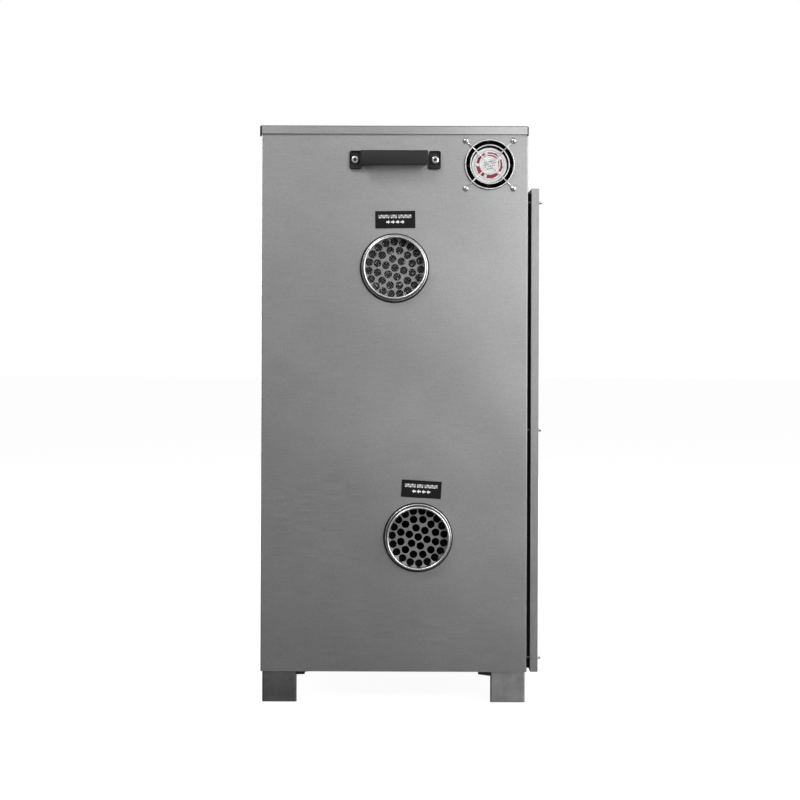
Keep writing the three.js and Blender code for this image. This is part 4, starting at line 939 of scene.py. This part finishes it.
switch = dial("main_switch")
skirted = [(BARREL_R, 0.5), (14.8, 0.5), (14.8, 4.6)]
knob = turned_part(skirted + arc(13.4, 4.9, 1.4, 0, 90, 4) + [(0, 6.4)], 72)
bar = block((6.8, 26, 12.6), (0, 0, 11.6), 1.6, 3)
pointer = block((1.2, 7, 0.4), (0, 8.5, 17.9), 0.1, 1)
ticks = [
    around(sheet([rounded(1.2, 5, 0.4)], 0.2, 0, 0.1), 20.5, math.radians(a)) for a in (90, 180)
]
piece(
    "main_switch_knob",
    merged(knob, bar),
    black_plastic,
    "switch",
    switch,
    ["main_switch"],
)
piece("main_switch_pointer", pointer, white_ink, "switch", switch)
piece("main_switch_ticks", merged(*ticks), label_black, "cabinet", switch)

stop = dial("emergency_stop")
stop_plate = lathe([(11.4, 0.1), (22.5, 0.1), (22.5, 1.2), (21.5, 2.0), (11.4, 2.0)], 80, True)
shoulder = [(BARREL_R, 13), (13.5, 14.2), (17.6, 14.2)]
mushroom = arc(17.4, 16.4, 1.6, -80, 30, 5) + arc(9.5, 17.4, 9.9, 22, 80, 7)
head = turned_part(shoulder + mushroom + [(0, STOP_HEAD_HEIGHT)], 80)
turn_arrows = [
    around(sheet([arrow(0, 0, 2.6)], 0.3, 0, STOP_HEAD_HEIGHT - 0.8), 5.4, math.radians(a))
    for a in (0, 120, 240)
]
piece("emergency_stop_plate", stop_plate, yellow_plastic, "cabinet", stop)
piece("emergency_stop_head", head, red_plastic, "stop", stop, ["emergency_stop"])
piece("emergency_stop_arrows", merged(*turn_arrows), white_ink, "stop", stop)

# ---- Filter: an aluminium frame round pleated fibre ----
FILTER_EDGE = 9.0
FOLD_DEPTH, FOLD_PITCH = 10, 9
FOLD_SUNK = 8  # of the folds' middle below the frame's face
FIBRE_SHEET = 0.5


def pleats(width, height, depth, pitch):
    """A zigzag sheet with its folds upright."""
    bm = bmesh.new()
    count = int(width / pitch)
    rows = []
    for i in range(count * 2 + 1):
        x = -width / 2 + i * width / (count * 2)
        z = depth / 2 if i % 2 else -depth / 2
        rows.append([bm.verts.new((x * MM, y * MM, z * MM)) for y in (-height / 2, 0, height / 2)])
    for a, b in zip(rows, rows[1:]):
        for j in range(2):
            bm.faces.new((a[j], b[j], b[j + 1], a[j + 1]))
    bm.normal_update()
    bmesh.ops.solidify(bm, geom=bm.faces[:], thickness=FIBRE_SHEET * MM)
    return from_bmesh(bm)


at, size = middle("process_filter"), span("process_filter") / MM
side, depth = size.x, size.y - 0.2
inside = side - 2 * FILTER_EDGE
foot_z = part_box("process_filter")[0].z
place = turned((-1, 0, 0), (0, 0, 1), (0, 1, 0), (at.x, at.y, foot_z + side / 2 * MM))
out = side / 2 - FILTER_EDGE / 2 - 0.2
strips = [block((side - 0.4, FILTER_EDGE, depth), (0, s * out, 0), 0.5, 2) for s in (-1, 1)]
strips += [block((FILTER_EDGE, inside, depth), (s * out, 0, 0), 0.5, 2) for s in (-1, 1)]
tab = block((60, 15, 1.8), (0, side / 2 + 6.2, size.y / 2 - 1.1), 0.6, 2)
folds = moved(pleats(inside, inside, FOLD_DEPTH, FOLD_PITCH), 0, 0, size.y / 2 - FOLD_SUNK)
rim = merged(*strips, tab)
piece("filter_frame", rim, aluminium, "filter", place, ["process_filter"])
piece("filter_pleats", folds, filter_fibre, "filter", place, smooth=10)

# ---- Rotor rims ----
RIM_HEIGHT = 6.8
RIM_INSET = 3.5
RIM_WIDTH = 5
RIM_PROUD = 0.35
low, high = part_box("desiccant_rotor")
radius = (high.x - low.x) / 2 / MM
rims = [
    tube(radius - RIM_WIDTH, radius + RIM_PROUD, z - RIM_HEIGHT / 2, z + RIM_HEIGHT / 2, 128)
    for z in (low.z / MM + RIM_INSET, high.z / MM - RIM_INSET)
]
rotor_place = Matrix.Translation((middle("desiccant_rotor").x, 0, 0))
piece("rotor_rims", merged(*rims), chrome, "rotor", rotor_place)

# ---- Cable gland ----
NUT_R = 14.0
DOME_R = 12.6
at = middle("cable_gland")
nut = sheet([circle(0, 0, NUT_R, 6)], 5.4, 0.8, 0.4)
dome_edge = [(DOME_R, 5.8), (DOME_R, 13)] + arc(DOME_R - 3.6, 13.4, 3.6, 0, 60, 4)
dome = lathe([(0, 5.8)] + dome_edge + [(6.0, 18.6), (5.5, 16.5), (0, 16.2)], 64)
thread = lathe([(0, -12), (9.8, -12), (9.8, 0.4), (0, 0.4)], 48)
gland = merged(nut, dome, thread)
place = on_rear(at.y, at.z)
piece("cable_gland_nuts", gland, black_plastic, "cabinet", place, ["cable_gland"])

# ---- Screws that hold the rear panel ----
REAR_SCREW = (4.2, 2.6)  # head's radius and height
REAR_SCREW_Y = 235
REAR_SCREW_HEIGHTS = (90, 330, 570, 790)
rear_screws = [(y, z) for y in (-REAR_SCREW_Y, REAR_SCREW_Y) for z in REAR_SCREW_HEIGHTS]
for i, (y, z) in enumerate(rear_screws):
    cross_screw(f"rear_screw_{i + 1}", on_rear(y * MM, z * MM, 0.1 * MM), *REAR_SCREW)

# ---- Floor, backdrop and light ----
# Both look white to the camera and give back less light than they show, as a lit sweep behind
# flags does.
FLOOR_ALBEDO = 0.12
FLOOR_GLOW = 0.93
WORLD_GLOW = 1.0
WORLD_LEVEL = 0.23
WORLD_LEAST = 0.05
WORLD_SLOPE = (0.26, -0.30, 0.12)  # brighter on the right and beside the camera
LIGHTS = (  # name, place, target, size and power
    ("right_near", (1.7, -1.5, 0.80), (0.1, -0.2, 0.6), (1.2, 1.6), 18),
    ("right_far", (1.2, -3.3, 1.0), (0, -0.2, 0.5), (1.2, 1.2), 21),
    ("upper_left", (-1.3, -2.6, 2.4), (0, -0.2, 0.6), (1.4, 1.0), 39),
    # These four stand behind the left side's plane, and light the other sides.
    ("top", (0.0, 1.0, 3.0), (0, 0.2, 0.4), (2.4, 1.6), 30),
    ("front_side", (2.9, 1.3, 1.1), (0.2, 0.1, 0.5), (1.6, 1.6), 45),
    ("rear_side", (-2.8, 1.0, 1.0), (-0.2, 0.1, 0.5), (1.6, 1.6), 60),
    ("back", (-0.6, 3.2, 1.0), (0, 0.2, 0.4), (2.4, 1.8), 75),
)


def shown_and_lit(tree, shown, lit, output):
    """The camera's rays get one shader, and the rays that light the object the other."""
    path = tree.nodes.new("ShaderNodeLightPath")
    mix = tree.nodes.new("ShaderNodeMixShader")
    tree.links.new(path.outputs["Is Camera Ray"], mix.inputs[0])
    tree.links.new(lit, mix.inputs[1])
    tree.links.new(shown, mix.inputs[2])
    tree.links.new(mix.outputs[0], tree.nodes[output].inputs["Surface"])


def floor_material():
    look = Look("floor_white", (FLOOR_ALBEDO,) * 3, 0.9)
    matt = look.shader.outputs[0]
    glow = look.node("Emission", {"Strength": FLOOR_GLOW}).outputs[0]
    both = look.node("AddShader", {0: glow, 1: matt}).outputs[0]
    shown_and_lit(look.tree, both, matt, "Material Output")
    return look.material


def soft_light(name, location, target, size, power):
    lamp = bpy.data.lights.new(name, "AREA")
    lamp.shape = "RECTANGLE"
    lamp.size, lamp.size_y = size
    lamp.energy = power
    made = bpy.data.objects.new(name, lamp)
    made.location = location
    made.rotation_euler = (Vector(target) - Vector(location)).to_track_quat("-Z", "Y").to_euler()
    bpy.context.scene.collection.objects.link(made)


def studio_world():
    """A plain world whose grey slopes with the direction."""
    world = bpy.data.worlds.new("studio")
    world.use_nodes = True
    tree = world.node_tree
    background = tree.nodes["Background"]
    glow = tree.nodes.new("ShaderNodeBackground")
    for node in (background, glow):
        node.inputs["Color"].default_value = (1, 1, 1, 1)
    glow.inputs["Strength"].default_value = WORLD_GLOW
    strength = tree.nodes.new("ShaderNodeTexCoord").outputs["Generated"]
    steps = (
        ("VectorMath", "DOT_PRODUCT", WORLD_SLOPE),
        ("Math", "ADD", WORLD_LEVEL),
        ("Math", "MAXIMUM", WORLD_LEAST),
    )
    for kind, operation, value in steps:
        step = tree.nodes.new("ShaderNode" + kind)
        step.operation = operation
        step.inputs[1].default_value = value
        tree.links.new(strength, step.inputs[0])
        strength = step.outputs["Value"]
    tree.links.new(strength, background.inputs["Strength"])
    shown_and_lit(tree, glow.outputs[0], background.outputs[0], "World Output")
    return world


bm = bmesh.new()
bmesh.ops.create_grid(bm, x_segments=8, y_segments=8, size=20)
floor = bpy.data.objects.new("floor", from_bmesh(bm))
floor.data.materials.append(floor_material())
floor.location.z = -0.5 * MM
bpy.context.scene.collection.objects.link(floor)
for light in LIGHTS:
    soft_light(*light)
bpy.context.scene.world = studio_world()
bpy.context.scene.view_settings.view_transform = "Standard"
